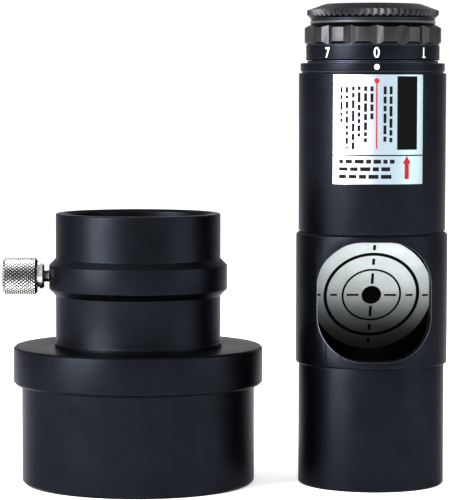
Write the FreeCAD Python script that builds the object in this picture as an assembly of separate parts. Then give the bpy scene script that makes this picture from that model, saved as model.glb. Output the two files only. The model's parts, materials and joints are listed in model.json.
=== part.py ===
import FreeCAD, Part
import math
import os

# A laser collimator for lining up the mirrors of a reflecting telescope, with its step-up adapter.
# The collimator stands on the end of its 1.25 inch barrel. The adapter stands beside it and turns that
# barrel into a 2 inch one. Millimetres, +Z up, the viewing window faces -Y. The origin is on the
# collimator's axis, in the plane of the barrel's end.

V = FreeCAD.Vector
UP = V(0, 0, 1)
FRONT = -90.0  # azimuth of the side that carries the window, the label and the index dot

# Standard eyepiece barrels
BARREL_R = 31.75 / 2
WIDE_BARREL_R = 50.8 / 2

# Collimator, lower half
BARREL_TOP = 26.4
BORE_R = 13.0
WINDOW_SECTION_R = 16.5
BODY_JOINT_Z = 55.0  # where the lower body and the upper housing meet
SPIGOT_R = 14.0
SPIGOT_TOP = 60.5
WINDOW_WIDE = 24.4
WINDOW_LOW = 28.0
WINDOW_HIGH = 53.5
WINDOW_CORNER_R = 9.6

# Target: the face leans at 45 degrees and looks down the barrel and out of the window
TARGET_Z = 41.1
TARGET_R = 12.98
TARGET_TOP = 58.3
BEAM_HOLE_R = 2.15
BEAM_RELIEF_R = 5.0
BEAM_RELIEF_Z = 48.0
INK = 0.05
SLOPE_STRETCH = 1.34  # the print is drawn longer along the slope, so that it looks round from in front
OUTER_RING_R = 10.45
OUTER_RING_LINE = 0.7
INNER_RING_R = 6.5
INNER_RING_LINE = 0.45
DASH_LINE = 0.4
DASHES = [(2.8, 5.4), (7.5, 9.0), (11.1, 12.3)]

# Collimator, upper half
HOUSING_R = 16.0
HOUSING_TOP = 89.5
MODULE_BORE_R = 8.6
MODULE_BORE_LOW = 60.7
MODULE_BORE_HIGH = 82.0
HEAD_BORE_R = 13.45
LABEL_LOW = 65.9
LABEL_HIGH = 89.1
LABEL_LEFT = -34.4
LABEL_RIGHT = 38.4
LABEL_THICK = 0.08

# Laser module
MODULE_R = 7.5
MODULE_LOW = 62.2
MODULE_HIGH = 82.5
LENS_BORE_R = 5.6
LENS_LOW = 63.8
LENS_R = 5.5
LENS_THICK = 2.4
LENS_EDGE = 1.2
LENS_BORE_TOP = 71.5
DIODE_SEAT_Z = 75.0
DIODE_R = 2.8
CHIP_BOARD_Z = 79.0
CHIP_BOARD_R = 4.9
ALIGN_Z = 76.0
ALIGN_R = 1.45
PIVOT_Z = 65.0
PIVOT_GROOVE_R = 7.0
PIVOT_RING_R = 7.8
PIVOT_CORD_R = 0.78

# Index ring and the neck that the dial turns on
INDEX_R = 15.65
INDEX_LOW = 89.8
INDEX_TOP = 91.6
LIP_R = 14.2  # dust lip that hides the gap under the dial
LIP_TOP = 92.1
NECK_R = 11.0
NECK_TOP = 95.35
NECK_SHOULDER = 94.55
NECK_TIP_R = 10.35
NECK_BORE_R = 8.4
DOT_R = 0.65
DOT_Z = 90.7
DETENT_TRACK_R = 12.85
DETENT_BALL_R = 0.8
SWITCH_BOARD_TOP = 95.95

# Brightness dial
DIAL_R = 14.5
DIAL_LOW = 92.2
BAND_TOP = 95.5
GRIP_LOW = 95.65
GRIP_EDGE_Z = 99.2  # where the grip's top starts to slope in
GRIP_R = 14.9
GRIP_GROOVES = 16
GRIP_GROOVE_WIDE = 3.3
GRIP_GROOVE_DEEP = 0.72
DIAL_BORE_R = 11.05
DIAL_STEP_Z = 94.5
RETAINER_ROOM_R = 12.4
CELL_ROOM_R = 13.0
CELL_ROOM_Z = 96.6
DIAL_LIP_R = 13.45
DIAL_LIP_TOP = 99.95
LEVELS = 8
DIGIT_TALL = 2.3
DIGIT_LINE = 0.3

# Battery and battery cap
CELL_R = 10.0
CELL_LOW = 97.6
CELL_THICK = 3.2
HOLDER_TOP = 99.4
CAP_SKIRT_R = 12.95
CAP_SKIRT_LOW = 97.45
CAP_ROOM_R = 11.6
CAP_ROOM_TOP = 102.2
CAP_COLLAR_R = 13.5
CAP_COLLAR_LOW = 100.95
CAP_RIM_R = 14.28
CAP_RIM_LOW = 101.25
CAP_RIM_SLOPE_TOP = 102.05
CAP_RIM_TOP = 102.97
CAP_TOP = 104.42
CAP_TOP_R = 10.2
CAP_TEETH = 60
CAP_TOOTH_DEEP = 0.5
SEAL_CORD_R = 0.47
SEAL_RING_R = 13.16
SEAL_Z = 100.42

# Adapter
ADAPTER_X = -50.95
WIDE_BARREL_TOP = 21.7
FLANGE_R = 27.2
FLANGE_TOP = 30.0
WIDE_BORE_R = 23.4
WIDE_BORE_TOP = 24.6
SOCKET_THREAD_R = 17.4
SOCKET_R = 18.0
SOCKET_COLLAR_R = 18.2
SOCKET_COLLAR_TOP = 30.9
SOCKET_TOP = 58.95
SOCKET_BORE_R = 15.92
BAND_R = 19.45
BAND_LOW = 42.5
BAND_HIGH = 47.65
BAND_SLOPE = 1.5
CLAMP_Z = 45.1
CLAMP_HALF = 2.0
CLAMP_GROOVE_R = 17.4
CLAMP_OUTER_R = 16.85
CLAMP_INNER_R = 16.05
CLAMP_GAP = 5.0

# Thumbscrew, on the adapter's -X side
SCREW_R = 1.45
SCREW_TIP = 16.9
SCREW_NECK_R = 2.85
SCREW_NECK_IN = 20.4
SCREW_HEAD_R = 4.08
SCREW_HEAD_IN = 21.9
SCREW_HEAD_OUT = 29.5
SCREW_EDGE = 0.7


def cylinder(radius, low, high, x=0.0):
    """An upright cylinder between two heights."""
    return Part.makeCylinder(radius, high - low, V(x, 0, low), UP)


def tube(outer, inner, low, high, x=0.0):
    """An upright tube between two heights."""
    return cylinder(outer, low, high, x).cut(cylinder(inner, low - 1, high + 1, x))


def turned(profile, x=0.0):
    """A solid of revolution about the upright axis at x, from a closed outline of (radius, height)."""
    points = [V(x + radius, 0, height) for radius, height in profile]
    outline = Part.makePolygon(points + points[:1])
    return Part.Face(outline).revolve(V(x, 0, 0), UP, 360)


def turned_about_x(profile, z):
    """A solid of revolution about the line along X through the adapter's axis at height z."""
    points = [V(ADAPTER_X - reach, 0, z + radius) for reach, radius in profile]
    outline = Part.makePolygon(points + points[:1])
    return Part.Face(outline).revolve(V(ADAPTER_X, 0, z), V(1, 0, 0), 360)


def o_ring(ring_r, cord_r, z):
    return Part.makeTorus(ring_r, cord_r, V(0, 0, z), UP)


def at_azimuth(shape, degrees, x=0.0):
    """A copy turned about the upright axis at x."""
    copy = shape.copy()
    copy.rotate(V(x, 0, 0), UP, degrees)
    return copy


def coil(ring_r, wire_r, low, turns, pitch):
    """A helical spring of round wire, lofted through a section every 20 degrees."""
    sections = []
    for k in range(int(turns * 18) + 1):
        angle = math.radians(20 * k)
        middle = V(ring_r * math.cos(angle), ring_r * math.sin(angle), low + wire_r + pitch * k / 18)
        along = V(-math.sin(angle) * ring_r, math.cos(angle) * ring_r, pitch / (2 * math.pi))
        sections.append(Part.Wire(Part.makeCircle(wire_r, middle, along)))
    return Part.makeLoft(sections, True, False)


def save(name, shape):
    shape.exportStep("parts/" + name + ".step")
    return shape


def rounded_window():
    """The window's outline, a rounded rectangle pushed through the front wall only."""
    half = WINDOW_WIDE / 2
    flat = half - WINDOW_CORNER_R
    block = Part.makeBox(2 * flat, 20, WINDOW_HIGH - WINDOW_LOW, V(-flat, -21, WINDOW_LOW))
    side_tall = WINDOW_HIGH - WINDOW_LOW - 2 * WINDOW_CORNER_R
    side_low = WINDOW_LOW + WINDOW_CORNER_R
    window = block.fuse(Part.makeBox(WINDOW_WIDE, 20, side_tall, V(-half, -21, side_low)))
    for x in (-flat, flat):
        for z in (side_low, side_low + side_tall):
            window = window.fuse(Part.makeCylinder(WINDOW_CORNER_R, 20, V(x, -21, z), V(0, 1, 0)))
    return window


def lower_body():
    """Barrel, window section and the threaded spigot that the upper housing screws onto."""
    shape = turned([
        (BORE_R, 0.4),
        (BORE_R + 0.4, 0),
        (BARREL_R - 0.4, 0),
        (BARREL_R, 0.4),
        (BARREL_R, BARREL_TOP),
        (WINDOW_SECTION_R - 0.3, BARREL_TOP),
        (WINDOW_SECTION_R, BARREL_TOP + 0.3),
        (WINDOW_SECTION_R, BODY_JOINT_Z - 0.4),
        (WINDOW_SECTION_R - 0.4, BODY_JOINT_Z),
        (SPIGOT_R, BODY_JOINT_Z),
        (SPIGOT_R, SPIGOT_TOP),
        (BORE_R, SPIGOT_TOP),
    ])
    return shape.cut(rounded_window())


def target_plug():
    """Solid plug with the leaning face, bored for the beam."""
    reach = BORE_R + 1
    side = Part.Face(Part.makePolygon([
        V(-reach, -reach, TARGET_Z + reach),
        V(-reach, reach, TARGET_Z - reach),
        V(-reach, reach, TARGET_TOP),
        V(-reach, -reach, TARGET_TOP),
        V(-reach, -reach, TARGET_Z + reach),
    ]))
    wedge = side.extrude(V(2 * reach, 0, 0))
    plug = wedge.common(cylinder(TARGET_R, 0, TARGET_TOP))
    plug = plug.cut(cylinder(BEAM_HOLE_R, 0, TARGET_TOP + 1))
    return plug.cut(cylinder(BEAM_RELIEF_R, BEAM_RELIEF_Z, TARGET_TOP + 1))


def ellipse_face(half_wide):
    half_tall = half_wide * SLOPE_STRETCH
    curve = Part.Ellipse(V(0, half_tall, 0), V(half_wide, 0, 0), V(0, 0, 0))
    return Part.Face(Part.Wire(curve.toShape()))


def target_print():
    """Two rings and a broken cross hair, printed on the leaning face."""
    marks = []
    for radius, line in ((OUTER_RING_R, OUTER_RING_LINE), (INNER_RING_R, INNER_RING_LINE)):
        marks.append(ellipse_face(radius).cut(ellipse_face(radius - line)).extrude(V(0, 0, INK)))
    for near, far in DASHES:
        across = Part.makeBox(far - near, DASH_LINE, INK, V(near, -DASH_LINE / 2, 0))
        tall = (far - near) * SLOPE_STRETCH
        along = Part.makeBox(DASH_LINE, tall, INK, V(-DASH_LINE / 2, near * SLOPE_STRETCH, 0))
        for dash in (across, along):
            marks.append(dash)
            marks.append(at_azimuth(dash, 180))
    group = Part.makeCompound(marks)
    group.Placement = FreeCAD.Placement(V(0, 0, TARGET_Z), FreeCAD.Rotation(V(1, 0, 0), 135))
    return group


def align_axis(azimuth):
    return V(math.cos(math.radians(azimuth)), math.sin(math.radians(azimuth)), 0)


ALIGN_AZIMUTHS = [FRONT, FRONT + 120, FRONT + 240]


def upper_housing():
    """Thick-walled tube that holds the laser module below and the dial's index ring above."""
    shape = turned([
        (SPIGOT_R + 0.05, BODY_JOINT_Z),
        (HOUSING_R - 0.25, BODY_JOINT_Z),
        (HOUSING_R - 0.25, BODY_JOINT_Z + 0.25),
        (HOUSING_R, BODY_JOINT_Z + 0.25),
        (HOUSING_R, HOUSING_TOP - 0.2),
        (HOUSING_R - 0.2, HOUSING_TOP),
        (HEAD_BORE_R, HOUSING_TOP),
        (HEAD_BORE_R, MODULE_BORE_HIGH),
        (MODULE_BORE_R, MODULE_BORE_HIGH),
        (MODULE_BORE_R, MODULE_BORE_LOW),
        (SPIGOT_R + 0.05, MODULE_BORE_LOW),
    ])
    for azimuth in ALIGN_AZIMUTHS:
        shape = shape.cut(Part.makeCylinder(ALIGN_R + 0.05, 20, V(0, 0, ALIGN_Z), align_axis(azimuth)))
    return shape


def alignment_screws():
    """Three M3 grub screws with hexagon sockets, 120 degrees apart; the front one is under the label."""
    socket_r = 1.5 / math.sqrt(3)
    tip = MODULE_R + 0.05
    end = 15.5
    screw = Part.makeCylinder(ALIGN_R, end - tip, V(tip, 0, ALIGN_Z), V(1, 0, 0))
    corners = []
    for k in range(7):
        angle = math.radians(60 * k)
        corners.append(V(end - 1.6, socket_r * math.cos(angle), ALIGN_Z + socket_r * math.sin(angle)))
    screw = screw.cut(Part.Face(Part.makePolygon(corners)).extrude(V(3, 0, 0)))
    return Part.makeCompound([at_azimuth(screw, azimuth) for azimuth in ALIGN_AZIMUTHS])


def label():
    """Foil sticker on the front of the upper housing."""
    inner = HOUSING_R + 0.01
    strip = Part.Face(Part.makePolygon([
        V(inner, 0, LABEL_LOW),
        V(inner + LABEL_THICK, 0, LABEL_LOW),
        V(inner + LABEL_THICK, 0, LABEL_HIGH),
        V(inner, 0, LABEL_HIGH),
        V(inner, 0, LABEL_LOW),
    ]))
    sticker = strip.revolve(V(0, 0, 0), UP, LABEL_RIGHT - LABEL_LEFT)
    return at_azimuth(sticker, FRONT + LABEL_LEFT)


def laser_housing():
    """Brass tube for the lens, its spring, the diode and the driver board."""
    return turned([
        (LENS_BORE_R, MODULE_LOW),
        (MODULE_R - 0.3, MODULE_LOW),
        (MODULE_R, MODULE_LOW + 0.3),
        (MODULE_R, PIVOT_Z - 0.9),
        (PIVOT_GROOVE_R, PIVOT_Z - 0.9),
        (PIVOT_GROOVE_R, PIVOT_Z + 0.9),
        (MODULE_R, PIVOT_Z + 0.9),
        (MODULE_R, MODULE_HIGH),
        (CHIP_BOARD_R + 0.1, MODULE_HIGH),
        (CHIP_BOARD_R + 0.1, DIODE_SEAT_Z + 1.2),
        (DIODE_R + 0.03, DIODE_SEAT_Z + 1.2),
        (DIODE_R + 0.03, DIODE_SEAT_Z),
        (2.2, DIODE_SEAT_Z),
        (2.2, LENS_BORE_TOP),
        (LENS_BORE_R, LENS_BORE_TOP),
    ])


def collimating_lens():
    """Biconvex lens: a disc whose two faces are shallow spherical caps."""
    middle = LENS_LOW + LENS_THICK / 2
    sag = (LENS_THICK - LENS_EDGE) / 2
    curve_r = (LENS_R ** 2 + sag ** 2) / (2 * sag)
    low_ball = Part.makeSphere(curve_r, V(0, 0, LENS_LOW + curve_r))
    high_ball = Part.makeSphere(curve_r, V(0, 0, LENS_LOW + LENS_THICK - curve_r))
    return cylinder(LENS_R, middle - LENS_THICK, middle + LENS_THICK).common(low_ball).common(high_ball)


def laser_diode():
    """Can-type diode: flange, window cap and three leads."""
    shape = cylinder(DIODE_R, DIODE_SEAT_Z, DIODE_SEAT_Z + 1.2)
    shape = shape.fuse(cylinder(1.78, DIODE_SEAT_Z - 2.3, DIODE_SEAT_Z))
    lead = Part.makeCylinder(0.22, CHIP_BOARD_Z - DIODE_SEAT_Z - 1.2, V(1.0, 0, DIODE_SEAT_Z + 1.2), UP)
    for azimuth in (90, 210, 330):
        shape = shape.fuse(at_azimuth(lead, azimuth))
    return shape


def driver_board():
    """Round board with a chip and two small parts on top."""
    board = cylinder(CHIP_BOARD_R, CHIP_BOARD_Z, CHIP_BOARD_Z + 1.0)
    top = CHIP_BOARD_Z + 1.0
    board = board.fuse(Part.makeBox(3.0, 1.6, 0.9, V(-1.5, 1.0, top)))
    for x in (-2.6, 1.4):
        board = board.fuse(Part.makeBox(1.2, 0.7, 0.5, V(x, -2.8, top)))
    return board


def lead_wires():
    """Two insulated wires from the driver board up to the switch board."""
    low = CHIP_BOARD_Z + 1.0
    wires = []
    for x in (-3.2, 3.2):
        wires.append(Part.makeCylinder(0.5, NECK_TOP - low, V(x, 0, low), UP))
    return Part.makeCompound(wires)


def index_ring():
    """Fixed ring under the dial, its spigot in the housing and the neck that the dial turns on."""
    shape = turned([
        (NECK_BORE_R, 84.0),
        (HEAD_BORE_R - 0.05, 84.0),
        (HEAD_BORE_R - 0.05, HOUSING_TOP),
        (INDEX_R - 0.3, HOUSING_TOP),
        (INDEX_R - 0.3, INDEX_LOW),
        (INDEX_R - 0.1, INDEX_LOW),
        (INDEX_R, INDEX_LOW + 0.1),
        (INDEX_R, INDEX_TOP - 0.15),
        (INDEX_R - 0.15, INDEX_TOP),
        (LIP_R, INDEX_TOP),
        (LIP_R, LIP_TOP),
        (LIP_R - 0.35, LIP_TOP),
        (LIP_R - 0.35, INDEX_TOP),
        (NECK_R, INDEX_TOP),
        (NECK_R, NECK_SHOULDER),
        (NECK_TIP_R, NECK_SHOULDER),
        (NECK_TIP_R, NECK_TOP),
        (NECK_BORE_R, NECK_TOP),
    ])
    pocket = Part.makeCylinder(DETENT_BALL_R + 0.05, 3, V(0, DETENT_TRACK_R, 89.9), UP)
    return shape.cut(pocket)


def index_dot():
    """Paint-filled dot on the front of the index ring."""
    peg = Part.makeCylinder(DOT_R, 4, V(0, -INDEX_R - 2, DOT_Z), V(0, 1, 0))
    return peg.common(tube(INDEX_R + 0.05, INDEX_R + 0.005, INDEX_LOW, INDEX_TOP))


def dial_retainer():
    """Flat ring on the neck that keeps the dial from lifting off."""
    return tube(RETAINER_ROOM_R - 0.2, NECK_TIP_R + 0.05, NECK_SHOULDER, NECK_TOP - 0.05)


def switch_board():
    """Ring-shaped board on top of the neck, with the contact tracks of the brightness switch."""
    return tube(10.2, 1.5, NECK_TOP, SWITCH_BOARD_TOP)


def detent_ball():
    top = DIAL_LOW + 0.35
    return Part.makeSphere(DETENT_BALL_R, V(0, DETENT_TRACK_R, top - DETENT_BALL_R))


def detent_spring():
    spring = coil(0.55, 0.1, 89.92, 2.0, 0.38)
    spring.translate(V(0, DETENT_TRACK_R, 0))
    return spring


def dial():
    """Brightness dial: numbered band below, grip with sixteen V grooves above, room for the battery inside."""
    shape = turned([
        (DIAL_BORE_R, DIAL_LOW),
        (DIAL_R - 0.15, DIAL_LOW),
        (DIAL_R, DIAL_LOW + 0.15),
        (DIAL_R, BAND_TOP - 0.1),
        (DIAL_R - 0.2, BAND_TOP),
        (DIAL_R - 0.2, GRIP_LOW),
        (GRIP_R - 0.45, GRIP_LOW),
        (GRIP_R, GRIP_LOW + 0.5),
        (GRIP_R, GRIP_EDGE_Z),
        (DIAL_LIP_R, DIAL_LIP_TOP),
        (CELL_ROOM_R, DIAL_LIP_TOP),
        (CELL_ROOM_R, CELL_ROOM_Z),
        (RETAINER_ROOM_R, CELL_ROOM_Z),
        (RETAINER_ROOM_R, DIAL_STEP_Z),
        (DIAL_BORE_R, DIAL_STEP_Z),
    ])
    valley = V(GRIP_R - GRIP_GROOVE_DEEP, 0, GRIP_LOW)
    corners = [valley]
    for side in (1, -1):
        corners.append(V(GRIP_R + GRIP_GROOVE_DEEP, side * GRIP_GROOVE_WIDE, GRIP_LOW))
    corners.append(valley)
    groove = Part.Face(Part.makePolygon(corners)).extrude(V(0, 0, DIAL_LIP_TOP - GRIP_LOW + 1))
    for k in range(GRIP_GROOVES):
        shape = shape.cut(at_azimuth(groove, FRONT + 360.0 / GRIP_GROOVES * k))
    track = tube(DETENT_TRACK_R + 0.85, DETENT_TRACK_R - 0.85, DIAL_LOW - 1, DIAL_LOW + 0.42)
    shape = shape.cut(track)
    dimple = Part.makeSphere(DETENT_BALL_R + 0.1, V(0, DETENT_TRACK_R, DIAL_LOW - 0.15))
    for k in range(LEVELS):
        shape = shape.cut(at_azimuth(dimple, 360.0 / LEVELS * k))
    return shape


def bar(start, end):
    """A straight stroke between two (across, up) points, as a thin block that faces the front."""
    along = V(end[0] - start[0], 0, end[1] - start[1])
    side = V(-along.z, 0, along.x).normalize() * (DIGIT_LINE / 2)
    first = V(start[0], 0, start[1])
    last = V(end[0], 0, end[1])
    corners = [first + side, last + side, last - side, first - side, first + side]
    return Part.Face(Part.makePolygon(corners)).extrude(V(0, -3, 0))


def bow(centre, radius, start, end):
    """A round stroke: part of a ring about a (across, up) centre, between two angles in degrees."""
    middle = V(centre[0], 0, centre[1])
    outer = Part.makeCylinder(radius + DIGIT_LINE / 2, 3, middle, V(0, -1, 0))
    ring = outer.cut(Part.makeCylinder(radius - DIGIT_LINE / 2, 3, middle, V(0, -1, 0)))
    if end - start >= 360:
        return ring
    far = radius + 1
    corners = [middle]
    steps = 6
    for k in range(steps + 1):
        angle = math.radians(start + (end - start) * k / steps)
        corners.append(middle + V(far * math.cos(angle), 0, far * math.sin(angle)))
    corners.append(middle)
    return ring.common(Part.Face(Part.makePolygon(corners)).extrude(V(0, -3, 0)))


TOP = DIGIT_TALL / 2 - DIGIT_LINE / 2
DIGITS = [
    [bow((0, 0.5), 0.5, 0, 180), bow((0, -0.5), 0.5, 180, 360), bar((-0.5, -0.5), (-0.5, 0.5)),
     bar((0.5, -0.5), (0.5, 0.5))],
    [bar((0, -TOP), (0, TOP)), bar((0, TOP), (-0.35, 0.65)), bar((-0.35, -TOP), (0.35, -TOP))],
    [bow((0, 0.5), 0.5, -40, 180), bar((0.38, 0.18), (-0.5, -TOP)), bar((-0.55, -TOP), (0.55, -TOP))],
    [bow((0, 0.52), 0.48, -90, 160), bow((0, -0.48), 0.52, -160, 90)],
    [bar((0.25, -TOP), (0.25, TOP)), bar((0.25, TOP), (-0.55, -0.4)), bar((-0.6, -0.4), (0.6, -0.4))],
    [bar((-0.4, TOP), (0.5, TOP)), bar((-0.4, TOP), (-0.45, 0)), bow((-0.02, -0.45), 0.55, -150, 140)],
    [bow((0, -0.48), 0.52, 0, 360), bar((-0.5, -0.35), (0.2, TOP))],
    [bar((-0.55, TOP), (0.5, TOP)), bar((0.5, TOP), (-0.15, -TOP - 0.1))],
]


def dial_numerals():
    """Paint-filled numerals for the brightness levels, one every 45 degrees round the dial's band."""
    skin = tube(DIAL_R + 0.055, DIAL_R + 0.005, DIAL_LOW + 0.1, BAND_TOP - 0.1)
    middle = (DIAL_LOW + BAND_TOP) / 2
    numerals = []
    for level, strokes in enumerate(DIGITS):
        figure = strokes[0].multiFuse(strokes[1:])
        figure.translate(V(0, -DIAL_R + 1.5, middle))
        numerals.append(at_azimuth(figure.common(skin), 360.0 / LEVELS * level))
    return Part.makeCompound(numerals)


def cell_holder():
    """Plastic floor and cup for the coin cell, seated on the dial's inner ledge."""
    floor = tube(CELL_ROOM_R - 0.05, 1.2, CELL_ROOM_Z, CELL_ROOM_Z + 0.7)
    return floor.fuse(tube(CELL_R + 1.3, CELL_R + 0.2, CELL_ROOM_Z + 0.7, HOLDER_TOP))


def cell_contact():
    """Spring strip under the cell."""
    low = CELL_ROOM_Z + 0.7
    strip = Part.makeBox(14, 3, 0.2, V(-7, -1.5, low))
    return strip.fuse(cylinder(2.5, low, CELL_LOW))


def coin_cell():
    """Three-volt coin cell, 20 mm across: can with a narrower lid below."""
    return turned([
        (0, CELL_LOW),
        (CELL_R - 1.3, CELL_LOW),
        (CELL_R - 1.3, CELL_LOW + 0.4),
        (CELL_R - 0.3, CELL_LOW + 0.6),
        (CELL_R, CELL_LOW + 0.9),
        (CELL_R, CELL_LOW + CELL_THICK - 0.2),
        (CELL_R - 0.2, CELL_LOW + CELL_THICK),
        (0, CELL_LOW + CELL_THICK),
    ])


def wiper_contact():
    """Leaf ring under the cell holder, with two feet that slide round the switch board's tracks."""
    leaf = tube(9.5, 6.5, CELL_ROOM_Z - 0.2, CELL_ROOM_Z)
    foot = Part.makeBox(1.2, 1.0, 0.4, V(7.4, -0.5, SWITCH_BOARD_TOP + 0.05))
    leg = Part.makeBox(0.3, 1.0, CELL_ROOM_Z - 0.1 - SWITCH_BOARD_TOP, V(8.3, -0.5, SWITCH_BOARD_TOP + 0.05))
    for side in (0, 180):
        leaf = leaf.fuse(at_azimuth(foot.fuse(leg), side))
    return leaf


def battery_cap():
    """Screw cap with a serrated rim and a sloping top."""
    shape = turned([
        (CAP_ROOM_R, CAP_SKIRT_LOW),
        (CAP_SKIRT_R - 0.2, CAP_SKIRT_LOW),
        (CAP_SKIRT_R, CAP_SKIRT_LOW + 0.2),
        (CAP_SKIRT_R, DIAL_LIP_TOP - 0.03),
        (SEAL_RING_R - SEAL_CORD_R - 0.02, DIAL_LIP_TOP - 0.03),
        (SEAL_RING_R - SEAL_CORD_R - 0.02, CAP_COLLAR_LOW),
        (CAP_COLLAR_R, CAP_COLLAR_LOW),
        (CAP_COLLAR_R, CAP_RIM_LOW),
        (CAP_RIM_R, CAP_RIM_SLOPE_TOP),
        (CAP_RIM_R, CAP_RIM_TOP),
        (CAP_TOP_R, CAP_TOP),
        (0, CAP_TOP),
        (0, CAP_ROOM_TOP),
        (CAP_ROOM_R, CAP_ROOM_TOP),
    ])
    corners = []
    for k in range(2 * CAP_TEETH + 1):
        radius = CAP_RIM_R if k % 2 == 0 else CAP_RIM_R - CAP_TOOTH_DEEP
        corners.append(align_axis(FRONT + 180.0 / CAP_TEETH * k) * radius + V(0, 0, CAP_SKIRT_LOW - 1))
    toothed = Part.Face(Part.makePolygon(corners)).extrude(V(0, 0, CAP_TOP - CAP_SKIRT_LOW + 2))
    return shape.common(toothed)


def adapter_barrel():
    """Two inch barrel with the wide flange that stops it in the focuser."""
    return turned([
        (WIDE_BORE_R, 0.5),
        (WIDE_BORE_R + 0.5, 0),
        (WIDE_BARREL_R - 0.6, 0),
        (WIDE_BARREL_R, 0.6),
        (WIDE_BARREL_R, WIDE_BARREL_TOP),
        (FLANGE_R - 0.6, WIDE_BARREL_TOP),
        (FLANGE_R, WIDE_BARREL_TOP + 0.6),
        (FLANGE_R, FLANGE_TOP - 0.4),
        (FLANGE_R - 0.4, FLANGE_TOP),
        (SOCKET_THREAD_R, FLANGE_TOP),
        (SOCKET_THREAD_R, WIDE_BORE_TOP),
        (WIDE_BORE_R, WIDE_BORE_TOP),
    ], ADAPTER_X)


def adapter_socket():
    """1.25 inch socket: tube with a raised band, grooved inside for the compression ring."""
    shape = turned([
        (SOCKET_BORE_R, WIDE_BORE_TOP),
        (SOCKET_THREAD_R - 0.05, WIDE_BORE_TOP),
        (SOCKET_THREAD_R - 0.05, FLANGE_TOP),
        (SOCKET_COLLAR_R, FLANGE_TOP),
        (SOCKET_COLLAR_R, SOCKET_COLLAR_TOP - 0.2),
        (SOCKET_R, SOCKET_COLLAR_TOP),
        (SOCKET_R, BAND_LOW - BAND_SLOPE),
        (BAND_R, BAND_LOW),
        (BAND_R, BAND_HIGH),
        (SOCKET_R, BAND_HIGH + BAND_SLOPE),
        (SOCKET_R, SOCKET_TOP - 0.3),
        (SOCKET_R - 0.3, SOCKET_TOP),
        (SOCKET_BORE_R + 0.6, SOCKET_TOP),
        (SOCKET_BORE_R, SOCKET_TOP - 0.6),
        (SOCKET_BORE_R, CLAMP_Z + CLAMP_HALF + 0.1),
        (CLAMP_GROOVE_R, CLAMP_Z + CLAMP_HALF + 0.1),
        (CLAMP_GROOVE_R, CLAMP_Z - CLAMP_HALF - 0.1),
        (SOCKET_BORE_R, CLAMP_Z - CLAMP_HALF - 0.1),
    ], ADAPTER_X)
    screw_hole = Part.makeCylinder(SCREW_R + 0.05, 12, V(ADAPTER_X - 12, 0, CLAMP_Z), V(-1, 0, 0))
    return shape.cut(screw_hole)


def compression_ring():
    """Split brass ring in the socket's groove; the screw pushes it against the barrel that is put in."""
    ring = tube(CLAMP_OUTER_R, CLAMP_INNER_R, CLAMP_Z - CLAMP_HALF, CLAMP_Z + CLAMP_HALF, ADAPTER_X)
    gap = Part.makeBox(10, CLAMP_GAP, 10, V(ADAPTER_X + 10, -CLAMP_GAP / 2, CLAMP_Z - 5))
    return ring.cut(gap)


def thumbscrew():
    """Screw with a round knurled head."""
    return turned_about_x([
        (SCREW_TIP, 0),
        (SCREW_TIP, SCREW_R - 0.3),
        (SCREW_TIP + 0.3, SCREW_R),
        (SCREW_NECK_IN, SCREW_R),
        (SCREW_NECK_IN, SCREW_NECK_R - 0.4),
        (SCREW_NECK_IN + 0.4, SCREW_NECK_R),
        (SCREW_HEAD_IN, SCREW_NECK_R),
        (SCREW_HEAD_IN, SCREW_HEAD_R - SCREW_EDGE),
        (SCREW_HEAD_IN + SCREW_EDGE / 2, SCREW_HEAD_R),
        (SCREW_HEAD_OUT - SCREW_EDGE, SCREW_HEAD_R),
        (SCREW_HEAD_OUT, SCREW_HEAD_R - SCREW_EDGE),
        (SCREW_HEAD_OUT, 0),
    ], CLAMP_Z)


os.makedirs("parts", exist_ok=True)

# Collimator body, from the barrel up
save("lower_body", lower_body())
save("target_plug", target_plug())
save("target_print", target_print())
save("upper_housing", upper_housing())
save("label", label())
save("index_ring", index_ring())
save("index_dot", index_dot())
save("detent_ball", detent_ball())
save("detent_spring", detent_spring())
save("dial_retainer", dial_retainer())
save("switch_board", switch_board())

# Laser module
save("laser_housing", laser_housing())
save("lens_retainer", tube(LENS_BORE_R - 0.05, 3.2, MODULE_LOW + 0.1, LENS_LOW))
save("collimating_lens", collimating_lens())
save("lens_spring", coil(4.9, 0.25, LENS_LOW + LENS_THICK - 0.45, 3.5, 1.4))
save("laser_diode", laser_diode())
save("driver_board", driver_board())
save("module_o_ring", o_ring(PIVOT_RING_R, PIVOT_CORD_R, PIVOT_Z))
save("alignment_screws", alignment_screws())
save("lead_wires", lead_wires())

# Dial and battery
save("dial", dial())
save("dial_numerals", dial_numerals())
save("cell_holder", cell_holder())
save("cell_contact", cell_contact())
save("wiper_contact", wiper_contact())
save("coin_cell", coin_cell())
save("cap_o_ring", o_ring(SEAL_RING_R, SEAL_CORD_R, SEAL_Z))
save("battery_cap", battery_cap())
save("cap_spring", coil(4.0, 0.25, CELL_LOW + CELL_THICK + 0.05, 1.8, 0.45))

# Adapter
save("adapter_barrel", adapter_barrel())
save("adapter_socket", adapter_socket())
save("compression_ring", compression_ring())
save("thumbscrew", thumbscrew())
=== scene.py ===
import json
import math
import random

import bpy
from mathutils import Matrix, Vector


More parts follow.
